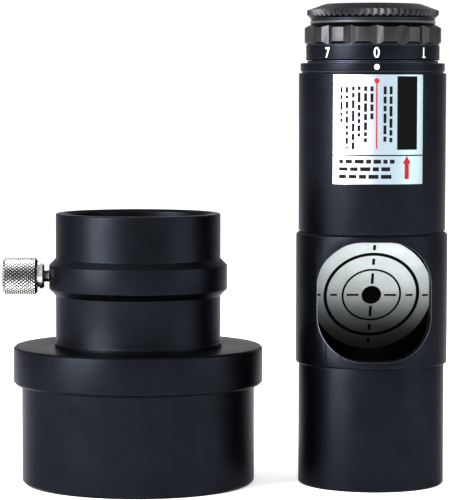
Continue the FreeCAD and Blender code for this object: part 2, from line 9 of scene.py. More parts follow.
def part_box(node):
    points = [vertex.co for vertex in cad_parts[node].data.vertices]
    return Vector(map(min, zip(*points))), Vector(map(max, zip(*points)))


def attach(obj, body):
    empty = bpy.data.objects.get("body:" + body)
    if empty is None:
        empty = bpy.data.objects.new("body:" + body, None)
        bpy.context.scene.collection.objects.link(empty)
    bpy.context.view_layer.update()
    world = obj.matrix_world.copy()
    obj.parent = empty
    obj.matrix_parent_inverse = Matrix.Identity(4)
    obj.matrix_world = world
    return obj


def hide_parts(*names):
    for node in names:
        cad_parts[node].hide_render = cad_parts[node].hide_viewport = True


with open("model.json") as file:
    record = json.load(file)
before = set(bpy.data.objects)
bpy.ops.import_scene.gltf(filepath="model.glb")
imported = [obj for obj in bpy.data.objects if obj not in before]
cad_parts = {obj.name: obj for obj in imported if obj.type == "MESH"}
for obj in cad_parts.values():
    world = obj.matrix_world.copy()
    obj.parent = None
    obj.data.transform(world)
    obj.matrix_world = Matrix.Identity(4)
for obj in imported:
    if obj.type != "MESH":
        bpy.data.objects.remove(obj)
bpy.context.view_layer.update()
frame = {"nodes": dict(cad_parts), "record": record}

bl_info = {
    "name": "Laser Collimator",
    "version": (1, 0, 0),
    "blender": (4, 5, 0),
    "location": "3D View > Sidebar > Collimator",
    "description": "Models a laser collimator and its step-up adapter, one piece at a time",
    "category": "Mesh",
}

MM = 0.001
FRONT = math.radians(-90)  # azimuth of the window, the label and the index dot
TURN_STEPS = 192  # faces round a turned piece
NODES = frame["nodes"]


# Sizes that come from the frame, in millimetres

def low_mm(node):
    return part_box(node)[0] / MM


def high_mm(node):
    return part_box(node)[1] / MM


def mount_r(name):
    """The radius of a round mount, in millimetres."""
    for mount in frame["record"]["mounts"]:
        if mount["name"] == name:
            return mount["dims"]["r_mm"]
    raise ValueError("the record has no mount named " + name)


BARREL_R = mount_r("barrel_1_25_inch")
WIDE_BARREL_R = mount_r("barrel_2_inch")
SOCKET_BORE_R = mount_r("socket_1_25_inch")
WINDOW_SECTION_R = high_mm("lower_body").x
SPIGOT_TOP = high_mm("lower_body").z
BODY_JOINT_Z = low_mm("upper_housing").z
HOUSING_R = high_mm("upper_housing").x
HOUSING_TOP = high_mm("upper_housing").z
BORE_R = high_mm("target_plug").x + 0.02
TARGET_TOP = high_mm("target_plug").z
TARGET_Z = low_mm("target_plug").z + high_mm("target_plug").x
INDEX_R = high_mm("index_ring").x
INDEX_SPIGOT_LOW = low_mm("index_ring").z
NECK_TOP = high_mm("index_ring").z
DIAL_LOW = low_mm("dial").z
DIAL_TOP = high_mm("dial").z
SKIRT_LOW = low_mm("battery_cap").z
CAP_TOP = high_mm("battery_cap").z
LABEL_LOW = low_mm("label").z
LABEL_HIGH = high_mm("label").z
SEAL_Z = (low_mm("cap_o_ring").z + high_mm("cap_o_ring").z) / 2
SEAL_CORD_R = (high_mm("cap_o_ring").z - low_mm("cap_o_ring").z) / 2
SEAL_RING_R = high_mm("cap_o_ring").x - SEAL_CORD_R
ADAPTER_X = (low_mm("adapter_barrel").x + high_mm("adapter_barrel").x) / 2
FLANGE_R = high_mm("adapter_barrel").y
FLANGE_TOP = high_mm("adapter_barrel").z
BAND_R = high_mm("adapter_socket").y
SOCKET_LOW = low_mm("adapter_socket").z
SOCKET_TOP = high_mm("adapter_socket").z
CLAMP_LOW = low_mm("compression_ring").z
CLAMP_HIGH = high_mm("compression_ring").z
CLAMP_OUTER_R = high_mm("compression_ring").y
SCREW_Z = (low_mm("thumbscrew").z + high_mm("thumbscrew").z) / 2
SCREW_HEAD_R = high_mm("thumbscrew").y
SCREW_OUT = ADAPTER_X - low_mm("thumbscrew").x
SCREW_TIP = ADAPTER_X - high_mm("thumbscrew").x
HEAD_IN = 21.9  # from the adapter's axis to the inner end of the thumbscrew's head
KNURL_EDGE = 0.55  # the plain chamfer at each end of the head


def linear(code, alpha=1.0):
    """A linear colour from an sRGB hex value such as #1A2B3C."""
    parts = []
    for start in (1, 3, 5):
        value = int(code[start:start + 2], 16) / 255
        parts.append(value / 12.92 if value <= 0.04045 else ((value + 0.055) / 1.055) ** 2.4)
    return (*parts, alpha)


# Properties that a user may change

class CollimatorSizes(bpy.types.PropertyGroup):
    grip_grooves: bpy.props.IntProperty(
        name="Grip grooves", description="V grooves milled round the brightness dial's grip", default=16)
    groove_width: bpy.props.FloatProperty(
        name="Groove width", description="Width of each groove at the grip's surface",
        default=3.3 * MM, unit="LENGTH")
    groove_depth: bpy.props.FloatProperty(
        name="Groove depth", description="Depth of each groove",
        default=0.72 * MM, unit="LENGTH")
    cap_teeth: bpy.props.IntProperty(
        name="Cap serrations", description="Serrations round the battery cap's rim", default=60)
    cap_tooth_depth: bpy.props.FloatProperty(
        name="Serration depth", description="Depth of the cap's serrations",
        default=0.5 * MM, unit="LENGTH")
    # the knurl's diamonds are drawn wider than a fine knurl's, which would be too small to show
    knurl_round: bpy.props.IntProperty(
        name="Knurl diamonds round", description="Diamonds round the thumbscrew's head", default=32)
    knurl_long: bpy.props.IntProperty(
        name="Knurl rows", description="Rows of diamonds along the thumbscrew's head", default=7)
    knurl_depth: bpy.props.FloatProperty(
        name="Knurl depth", description="Depth of the thumbscrew's knurl",
        default=0.3 * MM, unit="LENGTH")
    window_width: bpy.props.FloatProperty(
        name="Window width", description="Width of the viewing window",
        default=24.4 * MM, unit="LENGTH")
    window_corner: bpy.props.FloatProperty(
        name="Window corner", description="Corner radius of the viewing window",
        default=9.6 * MM, unit="LENGTH")
    figure_height: bpy.props.FloatProperty(
        name="Figure height", description="Height of the dial's numerals",
        default=2.3 * MM, unit="LENGTH")


class CollimatorColours(bpy.types.PropertyGroup):
    anodised: bpy.props.FloatVectorProperty(
        name="Anodised aluminium", description="Body colour of the black anodising",
        subtype="COLOR", size=4, default=linear("#131519"))
    foil: bpy.props.FloatVectorProperty(
        name="Label foil", description="Colour of the silver foil label",
        subtype="COLOR", size=4, default=linear("#DADCDE"))
    paint: bpy.props.FloatVectorProperty(
        name="Figure paint", description="Paint in the dial's numerals and the index dot",
        subtype="COLOR", size=4, default=linear("#F4F4F2"))
    red: bpy.props.FloatVectorProperty(
        name="Label red", description="Red ink on the label",
        subtype="COLOR", size=4, default=linear("#8E1C24"))


# Modelling helpers. Lengths that they take are in millimetres.

def deselect():
    if bpy.context.object and bpy.context.object.mode != "OBJECT":
        bpy.ops.object.mode_set(mode="OBJECT")
    bpy.ops.object.select_all(action="DESELECT")


def take(piece):
    """Make one object the only selected and active one."""
    deselect()
    piece.select_set(True)
    bpy.context.view_layer.objects.active = piece


def pick(piece, kind, test):
    """Select the faces, edges or vertices that pass a test, in edit mode."""
    take(piece)
    bpy.ops.object.mode_set(mode="EDIT")
    bpy.ops.mesh.select_mode(type=kind)
    bpy.ops.mesh.select_all(action="DESELECT")
    bpy.ops.object.mode_set(mode="OBJECT")
    mesh = piece.data
    parts = {"FACE": mesh.polygons, "EDGE": mesh.edges, "VERT": mesh.vertices}[kind]
    for part in parts:
        part.select = bool(test(part))
    bpy.ops.object.mode_set(mode="EDIT")


def settle(piece):
    """Put the object's place, turn and size into its mesh."""
    take(piece)
    bpy.ops.object.transform_apply(location=True, rotation=True, scale=True)


def tidy_mesh(piece):
    """Merge doubles and turn every face outwards."""
    take(piece)
    bpy.ops.object.mode_set(mode="EDIT")
    bpy.ops.mesh.select_all(action="SELECT")
    bpy.ops.mesh.remove_doubles(threshold=1e-6)
    bpy.ops.mesh.normals_make_consistent(inside=False)
    bpy.ops.object.mode_set(mode="OBJECT")


def draw_outline(name, points, closed):
    """A wire through points, extruded one vertex at a time."""
    deselect()
    bpy.ops.mesh.primitive_plane_add(size=MM, location=(0, 0, 0))
    piece = bpy.context.object
    piece.name = name
    bpy.ops.object.mode_set(mode="EDIT")
    bpy.ops.mesh.select_mode(type="VERT")
    bpy.ops.mesh.merge(type="CENTER")
    bpy.ops.transform.translate(value=points[0])
    stops = points + points[:1] if closed else points
    for here, there in zip(stops, stops[1:]):
        bpy.ops.mesh.extrude_region_move(TRANSFORM_OT_translate={"value": there - here})
    bpy.ops.mesh.select_all(action="SELECT")
    bpy.ops.mesh.remove_doubles(threshold=1e-6)
    return piece


def lathe(name, outline, axis_x=0.0, soften=0.08, steps=TURN_STEPS):
    """Turn an outline of (radius, height) about the upright line at axis_x, its corners rounded first.
    An outline that starts and ends on the axis stays open there, and any other one is closed."""
    on_axis = outline[0][0] == 0
    points = [Vector((axis_x + radius, 0, height)) * MM for radius, height in outline]
    piece = draw_outline(name, points, not on_axis)
    if soften:
        bpy.ops.object.mode_set(mode="OBJECT")
        ends = (points[0], points[-1]) if on_axis else ()
        pick(piece, "VERT", lambda v: all((v.co - end).length > 1e-7 for end in ends))
        bpy.ops.mesh.bevel(offset=soften * MM, segments=3, affect="VERTICES")
        bpy.ops.mesh.select_all(action="SELECT")
    bpy.ops.mesh.spin(steps=steps, angle=math.tau, center=(axis_x * MM, 0, 0), axis=(0, 0, 1))
    bpy.ops.object.mode_set(mode="OBJECT")
    tidy_mesh(piece)
    return piece


def combine(piece, tool, operation):
    """Cut, join or intersect a piece with a tool, which is then thrown away."""
    take(piece)
    modifier = piece.modifiers.new("combine", "BOOLEAN")
    modifier.operation = operation
    modifier.solver = "EXACT"
    modifier.object = tool
    bpy.ops.object.modifier_apply(modifier=modifier.name)
    bpy.data.objects.remove(tool)


def rod(radius, length, place, turn=(0, 0, 0), sides=64):
    """A round cutting tool."""
    deselect()
    bpy.ops.mesh.primitive_cylinder_add(
        vertices=sides, radius=radius * MM, depth=length * MM, location=Vector(place) * MM, rotation=turn)
    tool = bpy.context.object
    settle(tool)
    return tool


def prism(name, corners, low, high):
    """An upright block on a closed outline of flat points."""
    piece = draw_outline(name, [Vector((x, y, low)) * MM for x, y in corners], True)
    bpy.ops.mesh.edge_face_add()
    bpy.ops.mesh.extrude_region_move(TRANSFORM_OT_translate={"value": (0, 0, (high - low) * MM)})
    bpy.ops.object.mode_set(mode="OBJECT")
    tidy_mesh(piece)
    return piece


def polar(radius, angle):
    return (radius * math.cos(angle), radius * math.sin(angle))


def soften_edges(piece, width, degrees=28, segments=2):
    """Round every edge sharper than an angle."""
    take(piece)
    modifier = piece.modifiers.new("soften", "BEVEL")
    modifier.width = width * MM
    modifier.segments = segments
    modifier.limit_method = "ANGLE"
    modifier.angle_limit = math.radians(degrees)
    modifier.use_clamp_overlap = True
    bpy.ops.object.modifier_apply(modifier=modifier.name)


def thicken(piece, depth):
    take(piece)
    modifier = piece.modifiers.new("thicken", "SOLIDIFY")
    modifier.thickness = depth * MM
    modifier.offset = 1
    bpy.ops.object.modifier_apply(modifier=modifier.name)


def wrap(piece, radius, angle, axis_x=0.0):
    """Lay a piece drawn in the XZ plane on an upright cylinder: X goes round it and -Y stands out of it."""
    for vertex in piece.data.vertices:
        across, out, up = vertex.co
        around = angle + across / (radius * MM)
        reach = radius * MM - out
        vertex.co = (axis_x * MM + reach * math.cos(around), reach * math.sin(around), up)


def flat_patch(name, x_range, z_range, cuts=12):
    """A flat rectangle in the XZ plane that faces the front, cut across so that it can be wrapped."""
    deselect()
    wide = (x_range[1] - x_range[0]) * MM
    tall = (z_range[1] - z_range[0]) * MM
    middle = Vector((sum(x_range) / 2, 0, sum(z_range) / 2)) * MM
    bpy.ops.mesh.primitive_grid_add(
        x_subdivisions=cuts, y_subdivisions=1, size=1, location=middle, rotation=(math.pi / 2, 0, 0))
    piece = bpy.context.object
    piece.name = name
    piece.scale = (wide, tall, 1)
    settle(piece)
    return piece


def join(name, parts):
    take(parts[0])
    for part in parts[1:]:
        part.select_set(True)
    bpy.ops.object.join()
    parts[0].name = name
    return parts[0]


def hand_over(piece, material, body, nodes, smooth=30):
    """Finish a piece: shading, material, the body that it rides on and the CAD nodes that it stands for."""
    settle(piece)
    bpy.ops.object.shade_smooth_by_angle(angle=math.radians(smooth))
    piece.data.materials.clear()
    piece.data.materials.append(material)
    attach(piece, body)
    if nodes:
        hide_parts(*nodes)
    return piece


def paint_milled(piece, low, high, inner_r):
    """Give the upright faces of a grip, between two heights and outside a radius, the milled finish."""
    piece.data.materials.append(MATERIALS["milled"])

    def on_grip(face):
        middle = face.center
        between = low * MM < middle.z < high * MM
        return between and math.hypot(middle.x, middle.y) > inner_r * MM and abs(face.normal.z) < 0.5

    pick(piece, "FACE", on_grip)
    piece.active_material_index = 1
    bpy.ops.object.material_slot_assign()
    bpy.ops.object.mode_set(mode="OBJECT")


# Materials

def add_node(tree, kind, inputs=(), links=(), **settings):
    """Add a shader node, set its properties and input values, and link sources to its inputs."""
    node = tree.nodes.new(kind)
    for key, value in settings.items():
        setattr(node, key, value)
    for socket, value in inputs:
        node.inputs[socket].default_value = value
    for socket, source in links:
        tree.links.new(source, node.inputs[socket])
    return node


def start_material(name):
    """An empty material with its surface shader and the object's own coordinates."""
    material = bpy.data.materials.new(name)
    material.use_nodes = True
    tree = material.node_tree
    tree.nodes.clear()
    shader = add_node(tree, "ShaderNodeBsdfPrincipled")
    add_node(tree, "ShaderNodeOutputMaterial", links=[("Surface", shader.outputs[0])])
    place = add_node(tree, "ShaderNodeTexCoord").outputs["Object"]
    return material, tree, shader, place


def speckle(tree, place, grain_mm, detail=2.0):
    """Noise whose blotches are about grain_mm across."""
    noise = add_node(
        tree, "ShaderNodeTexNoise", inputs=[("Scale", 1 / (grain_mm * MM)), ("Detail", detail)],
        links=[("Vector", place)])
    return noise.outputs["Fac"]


def turning_marks(tree, place, feed_mm, centre_x=0.0):
    """Fine rings left by a lathe tool: noise that changes only with height."""
    mapping = add_node(
        tree, "ShaderNodeMapping", inputs=[("Location", (centre_x, 0, 0)), ("Scale", (0.02, 0.02, 1))],
        links=[("Vector", place)])
    return speckle(tree, mapping.outputs["Vector"], feed_mm, 3.0)


def ramp(tree, source, stops):
    """A colour ramp with (position, colour) stops."""
    node = add_node(tree, "ShaderNodeValToRGB", links=[("Fac", source)])
    elements = node.color_ramp.elements
    while len(elements) < len(stops):
        elements.new(0.5)
    for element, (position, colour) in zip(elements, stops):
        element.position = position
        element.color = colour
    return node.outputs["Color"]


def spread(tree, source, low, high):
    """Stretch a 0 to 1 source over a range."""
    node = add_node(
        tree, "ShaderNodeMapRange", inputs=[("To Min", low), ("To Max", high)], links=[("Value", source)])
    return node.outputs["Result"]


def raise_surface(tree, shader, sources):
    """Chain bumps of (height source, depth in mm)."""
    normal = None
    for height, depth in sources:
        links = [("Height", height)]
        if normal:
            links.append(("Normal", normal))
        bump = add_node(
            tree, "ShaderNodeBump", inputs=[("Strength", 1.0), ("Distance", depth * MM)], links=links)
        normal = bump.outputs["Normal"]
    tree.links.new(normal, shader.inputs["Normal"])


def tint(colour, factor):
    return (*[min(1.0, part * factor) for part in colour[:3]], 1.0)


def edge_wear(tree, width_mm):
    """0 on open faces, rising to 1 on corners, where the painted edge highlight goes: how far a rounded
    normal turns from the true one.
    """
    rounded = add_node(tree, "ShaderNodeBevel", inputs=[("Radius", width_mm * MM)], samples=6)
    geometry = add_node(tree, "ShaderNodeNewGeometry")
    likeness = add_node(
        tree, "ShaderNodeVectorMath", links=[(0, rounded.outputs[0]), (1, geometry.outputs["Normal"])],
        operation="DOT_PRODUCT")
    node = add_node(
        tree, "ShaderNodeMapRange", inputs=[("From Min", 0.995), ("From Max", 0.93)],
        links=[("Value", likeness.outputs["Value"])])
    return node.outputs["Result"]


def calc(tree, operation, first, second=None):
    """A maths node on sources or plain numbers."""
    values = [(0, first), (1, second)]
    plain = [(i, v) for i, v in values if isinstance(v, (int, float))]
    linked = [(i, v) for i, v in values if v is not None and not isinstance(v, (int, float))]
    return add_node(tree, "ShaderNodeMath", inputs=plain, links=linked, operation=operation).outputs[0]


def black_anodised(name, colour, roughness=(0.33, 0.43), edge_highlight=14.0):
    """Turned aluminium, fine-blasted and anodised black: a satin, faintly blue black with a soft wide
    sheen that turns pale where it is seen edge on. Its sharp edges carry a painted highlight: their colour
    is raised by the factor edge_highlight."""
    material, tree, shader, place = start_material(name)
    cloud = speckle(tree, place, 7.0)
    body = ramp(tree, cloud, [(0.3, tint(colour, 0.85)), (0.7, tint(colour, 1.12))])
    # the sharp edges are painted paler than the body: a painted highlight along them
    mix = add_node(
        tree, "ShaderNodeMix", inputs=[("B", tint(colour, edge_highlight))],
        links=[("Factor", edge_wear(tree, 0.2)), ("A", body)], data_type="RGBA")
    tree.links.new(mix.outputs["Result"], shader.inputs["Base Color"])
    tree.links.new(spread(tree, speckle(tree, place, 2.5), *roughness), shader.inputs["Roughness"])
    shader.inputs["Metallic"].default_value = 1.0
    # the oxide dulls the sheen of faces seen edge on
    shader.inputs["Specular Tint"].default_value = (0.55, 0.55, 0.57, 1)
    # the blasted grain is near 0.05 mm, and is drawn at 0.3 mm so that it shows
    raise_surface(tree, shader, [
        (turning_marks(tree, place, 0.35), 0.0012),
        (speckle(tree, place, 0.3), 0.0035),
    ])
    return material


def brushed_target():
    """Bare aluminium faced on a lathe: rings of fine marks round its middle, which spread a light into
    bright and dark wedges."""
    material, tree, shader, place = start_material("Bare aluminium, faced")
    centre = Vector((0, 0, TARGET_Z)) * MM
    offset = add_node(
        tree, "ShaderNodeVectorMath", inputs=[(1, centre)], links=[(0, place)], operation="SUBTRACT")
    around = add_node(
        tree, "ShaderNodeVectorMath", inputs=[(1, (0, -math.sqrt(0.5), -math.sqrt(0.5)))],
        links=[(0, offset.outputs[0])], operation="CROSS_PRODUCT")
    length = add_node(
        tree, "ShaderNodeVectorMath", links=[(0, offset.outputs[0])], operation="LENGTH")
    tree.links.new(around.outputs[0], shader.inputs["Tangent"])
    rings = add_node(
        tree, "ShaderNodeTexNoise", inputs=[("Scale", 1 / (0.22 * MM)), ("Detail", 2.0)],
        noise_dimensions="1D", links=[("W", length.outputs["Value"])])
    shade = speckle(tree, place, 3.0)
    bare = ramp(tree, shade, [(0.3, linear("#BEC6C6")), (0.7, linear("#CAD2D2"))])
    # the face is drawn darker towards its lower end, which lies deep in the tube where little light reaches
    height = add_node(tree, "ShaderNodeSeparateXYZ", links=[("Vector", place)]).outputs["Z"]
    face_half = 12.5  # half the leaning face's height
    climb = add_node(
        tree, "ShaderNodeMapRange",
        inputs=[("From Min", (TARGET_Z - face_half) * MM), ("From Max", (TARGET_Z + face_half) * MM)],
        links=[("Value", height)]).outputs["Result"]
    levels = ((0.04, 0.05), (0.18, 0.13), (0.3, 0.36), (0.45, 0.76), (0.58, 1.0))
    depth_shade = ramp(tree, climb, [(position, (level, level, level, 1.0)) for position, level in levels])
    blend = add_node(
        tree, "ShaderNodeMix", inputs=[("Factor", 1.0)], links=[("A", bare), ("B", depth_shade)],
        data_type="RGBA", blend_type="MULTIPLY")
    tree.links.new(blend.outputs["Result"], shader.inputs["Base Color"])
    shader.inputs["Metallic"].default_value = 0.3
    shader.inputs["Roughness"].default_value = 0.5
    shader.inputs["Anisotropic"].default_value = 0.6
    raise_surface(tree, shader, [(rings.outputs["Fac"], 0.002)])
    return material


def flat_ink(name, colour, roughness=0.6):
    """Screen-printed ink or matt paint: a thin, even, dull film, slightly clouded."""
    material, tree, shader, place = start_material(name)
    cloud = speckle(tree, place, 0.8)
    body = ramp(tree, cloud, [(0.3, tint(colour, 0.85)), (0.7, tint(colour, 1.1))])
    tree.links.new(body, shader.inputs["Base Color"])
    tree.links.new(spread(tree, cloud, roughness - 0.05, roughness + 0.08), shader.inputs["Roughness"])
    shader.inputs["Specular IOR Level"].default_value = 0.04
    raise_surface(tree, shader, [(speckle(tree, place, 0.3), 0.002)])
    return material


def label_foil():
    """Metallised polyester film: bright silver with a faint blue and green tint, and painted shade that
    darkens it towards its right-hand end.
    """
    material, tree, shader, place = start_material("Metallised polyester film")
    colour = tuple(bpy.context.scene.collimator_colours.foil)
    across = add_node(tree, "ShaderNodeSeparateXYZ", links=[("Vector", place)]).outputs["X"]
    half = HOUSING_R * MM * 0.7
    position = add_node(
        tree, "ShaderNodeMapRange", inputs=[("From Min", -half), ("From Max", half)],
        links=[("Value", across)]).outputs["Result"]
    # silver at the left end, a darker blue-green at the right end: the darkening towards the right is
    # painted shade
    foil_tint_and_shade = ramp(tree, position, [
        (0.0, tint(colour, 0.92)),
        (0.3, tint(colour, 0.85)),
        (0.5, linear("#98A2AC")),
        (0.62, linear("#96A6B2")),
        (0.78, linear("#93A6AA")),
        (1.0, linear("#76868A")),
    ])
    tree.links.new(foil_tint_and_shade, shader.inputs["Base Color"])
    shader.inputs["Metallic"].default_value = 0.85
    tree.links.new(spread(tree, speckle(tree, place, 1.5), 0.3, 0.42), shader.inputs["Roughness"])
    raise_surface(tree, shader, [(speckle(tree, place, 2.0), 0.004)])
    return material


def figure_paint():
    """White enamel wiped into engraved figures: clean, slightly glossy and a touch uneven."""
    material, tree, shader, place = start_material("White enamel, filled")
    colour = tuple(bpy.context.scene.collimator_colours.paint)
    cloud = speckle(tree, place, 0.5)
    body = ramp(tree, cloud, [(0.3, tint(colour, 0.93)), (0.7, colour)])
    tree.links.new(body, shader.inputs["Base Color"])
    shader.inputs["Roughness"].default_value = 0.4
    raise_surface(tree, shader, [(cloud, 0.004)])
    return material


def plated_steel():
    """Steel turned, knurled and nickel plated: bright diamonds, with painted shade in the grooves between
    them.
    The painted shade follows the low corners of the modelled knurl."""
    material, tree, shader, place = start_material("Nickel-plated steel, knurled")
    sizes = bpy.context.scene.collimator_sizes
    cloud = speckle(tree, place, 1.2)
    metal = ramp(tree, cloud, [(0.3, linear("#A4A4A1")), (0.7, linear("#BABAB7"))])
    axes = add_node(tree, "ShaderNodeSeparateXYZ", links=[("Vector", place)]).outputs
    angle = calc(tree, "ARCTAN2", axes["Y"], calc(tree, "SUBTRACT", axes["Z"], SCREW_Z * MM))
    turns = calc(tree, "MULTIPLY", angle, sizes.knurl_round / math.tau)
    knurl_in = HEAD_IN + KNURL_EDGE
    row_length = (SCREW_OUT - KNURL_EDGE - knurl_in) / sizes.knurl_long
    reach = calc(tree, "SUBTRACT", (ADAPTER_X - knurl_in) * MM, axes["X"])
    along = calc(tree, "DIVIDE", reach, row_length * MM)
    half = calc(tree, "ADD", turns, 0.5)
    rising = calc(tree, "PINGPONG", calc(tree, "ADD", half, along), 0.5)
    falling = calc(tree, "PINGPONG", calc(tree, "SUBTRACT", half, along), 0.5)
    height = calc(tree, "MINIMUM", rising, falling)
    on_head = calc(tree, "GREATER_THAN", reach, 0.0)
    crest = add_node(
        tree, "ShaderNodeMapRange", inputs=[("From Min", 0.08), ("From Max", 0.24)],
        links=[("Value", height)]).outputs["Result"]
    bright = calc(tree, "MAXIMUM", crest, calc(tree, "SUBTRACT", 1.0, on_head))
    # dark grey in the grooves between the diamonds: painted shade
    mix = add_node(
        tree, "ShaderNodeMix", inputs=[("A", linear("#2A2A2A"))], links=[("Factor", bright), ("B", metal)],
        data_type="RGBA")
    tree.links.new(mix.outputs["Result"], shader.inputs["Base Color"])
    shader.inputs["Metallic"].default_value = 1.0
    tree.links.new(spread(tree, cloud, 0.2, 0.3), shader.inputs["Roughness"])
    raise_surface(tree, shader, [(speckle(tree, place, 0.2), 0.002)])
    return material


def plain_metal(name, dark, light, roughness, grain=1.5):
    """A plain machined or drawn metal: slight clouding and fine marks."""
    material, tree, shader, place = start_material(name)
    cloud = speckle(tree, place, grain)
    body = ramp(tree, cloud, [(0.3, linear(dark)), (0.7, linear(light))])
    tree.links.new(body, shader.inputs["Base Color"])
    shader.inputs["Metallic"].default_value = 1.0
    tree.links.new(spread(tree, cloud, roughness - 0.06, roughness + 0.06), shader.inputs["Roughness"])
    raise_surface(tree, shader, [(turning_marks(tree, place, 0.3), 0.002)])
    return material


def plain_moulding(name, dark, light, roughness, grain=0.6):
    """A moulded rubber, plastic or board surface: dull, with a fine moulded texture."""
    material, tree, shader, place = start_material(name)
    cloud = speckle(tree, place, grain)
    body = ramp(tree, cloud, [(0.35, linear(dark)), (0.65, linear(light))])
    tree.links.new(body, shader.inputs["Base Color"])
    tree.links.new(spread(tree, cloud, roughness - 0.06, roughness + 0.06), shader.inputs["Roughness"])
    raise_surface(tree, shader, [(speckle(tree, place, 0.35), 0.006)])
    return material


def coated_glass():
    """Polished crown glass with a thin coating: clear, with a faint violet-green reflection."""
    material, tree, shader, place = start_material("Coated crown glass")
    cloud = speckle(tree, place, 4.0)
    body = ramp(tree, cloud, [(0.3, linear("#E4F0EC")), (0.7, linear("#EDEBF5"))])
    tree.links.new(body, shader.inputs["Base Color"])
    shader.inputs["Transmission Weight"].default_value = 1.0
    shader.inputs["Roughness"].default_value = 0.02
    shader.inputs["IOR"].default_value = 1.52
    return material


MATERIALS = {}


def make_materials():
    colours = bpy.context.scene.collimator_colours
    MATERIALS.update({
        "anodised": black_anodised("Black anodised aluminium, blasted", tuple(colours.anodised)),
        # the cut faces of the grip and the cap's teeth aren't blasted, and look smoother and lighter
        "milled": black_anodised("Black anodised aluminium, milled", linear("#303032"), (0.3, 0.4), 1.0),
        # dead matt, so that the bore sends no stray light back
        "bore black": flat_ink("Matt black paint", linear("#040405"), 0.8),
        "target": brushed_target(),
        "ink": flat_ink("Black screen ink", linear("#050506"), 0.7),
        "label ink": flat_ink("Black label ink", linear("#0E0F13")),
        "label red": flat_ink("Red label ink", tuple(colours.red)),
        "foil": label_foil(),
        "paint": figure_paint(),
        "plated": plated_steel(),
        "brass": plain_metal("Turned brass", "#B08A45", "#CBA65C", 0.3),
        "bronze": plain_metal("Phosphor bronze strip", "#A9783F", "#C49358", 0.34),
        "spring": plain_metal("Drawn spring wire", "#9A9B9D", "#B9BABC", 0.28, 0.4),
        "black steel": plain_metal("Black oxide steel", "#1C1C1E", "#2A2A2C", 0.4),
        "cell": plain_metal("Stamped stainless can", "#A9AAAC", "#C9CACC", 0.25, 3.0),
        "rubber": plain_moulding("Nitrile rubber, moulded", "#08090C", "#101116", 0.42),
        "plastic": plain_moulding("Black polycarbonate, moulded", "#101113", "#1A1B1E", 0.45),
        "board": plain_moulding("Green solder mask", "#0D3A1E", "#17522D", 0.35, 1.5),
        "wire": plain_moulding("Red wire insulation", "#7C0F12", "#96161A", 0.42),
        "glass": coated_glass(),
    })


# Collimator

class COLLIMATOR_OT_lower_body(bpy.types.Operator):
    """Barrel and window section, turned in one piece, with the window milled through its front"""
    bl_idname = "collimator.lower_body"
    bl_label = "Lower Body"

    def execute(self, context):
        sizes = context.scene.collimator_sizes
        barrel_top = 26.4
        spigot_r = 14.0
        body = lathe("barrel_and_window_section", [
            (BORE_R, 0.4),
            (BORE_R + 0.4, 0),
            (BARREL_R - 0.4, 0),
            (BARREL_R, 0.4),
            (BARREL_R, barrel_top - 0.25),
            (BARREL_R - 0.12, barrel_top),
            (WINDOW_SECTION_R - 0.35, barrel_top),
            (WINDOW_SECTION_R, barrel_top + 0.35),
            (WINDOW_SECTION_R, BODY_JOINT_Z - 0.45),
            (WINDOW_SECTION_R - 0.45, BODY_JOINT_Z),
            (spigot_r, BODY_JOINT_Z),
            (spigot_r, SPIGOT_TOP),
            (BORE_R, SPIGOT_TOP),
        ])
        window_low = 28.0
        window_high = 53.5
        deselect()
        bpy.ops.mesh.primitive_cube_add(size=1, location=(0, -11 * MM, (window_low + window_high) / 2 * MM))
        cutter = context.object
        cutter.scale = Vector((sizes.window_width / MM, 20, window_high - window_low)) * MM
        settle(cutter)
        pick(cutter, "EDGE", lambda edge: self.runs_front_to_back(cutter, edge))
        bpy.ops.mesh.bevel(offset=sizes.window_corner, segments=28, affect="EDGES")
        bpy.ops.object.mode_set(mode="OBJECT")
        combine(body, cutter, "DIFFERENCE")
        self.chamfer_window(body)
        hand_over(body, MATERIALS["anodised"], "collimator", ["lower_body"])
        return {"FINISHED"}

    @staticmethod
    def runs_front_to_back(piece, edge):
        start, end = (piece.data.vertices[i].co for i in edge.vertices)
        return abs((start - end).y) > 0.9 * (start - end).length

    @staticmethod
    def chamfer_window(body):
        """Break the sharp edge where the window meets the outside."""
        mesh = body.data
        sides = {}
        for face in mesh.polygons:
            middle = face.center
            outside = math.hypot(middle.x, middle.y) > (WINDOW_SECTION_R - 0.05) * MM
            wall = abs(face.normal.y) < 1e-3 and middle.y < 0 and not outside
            wall = wall and math.hypot(middle.x, middle.y) > (BORE_R + 0.02) * MM
            for key in face.edge_keys:
                sides.setdefault(key, []).append("wall" if wall else "outside" if outside else "")
        pick(body, "EDGE", lambda edge: sorted(sides.get(edge.key, [])) == ["outside", "wall"])
        bpy.ops.mesh.bevel(offset=0.15 * MM, segments=2, affect="EDGES", clamp_overlap=False)
        bpy.ops.object.mode_set(mode="OBJECT")


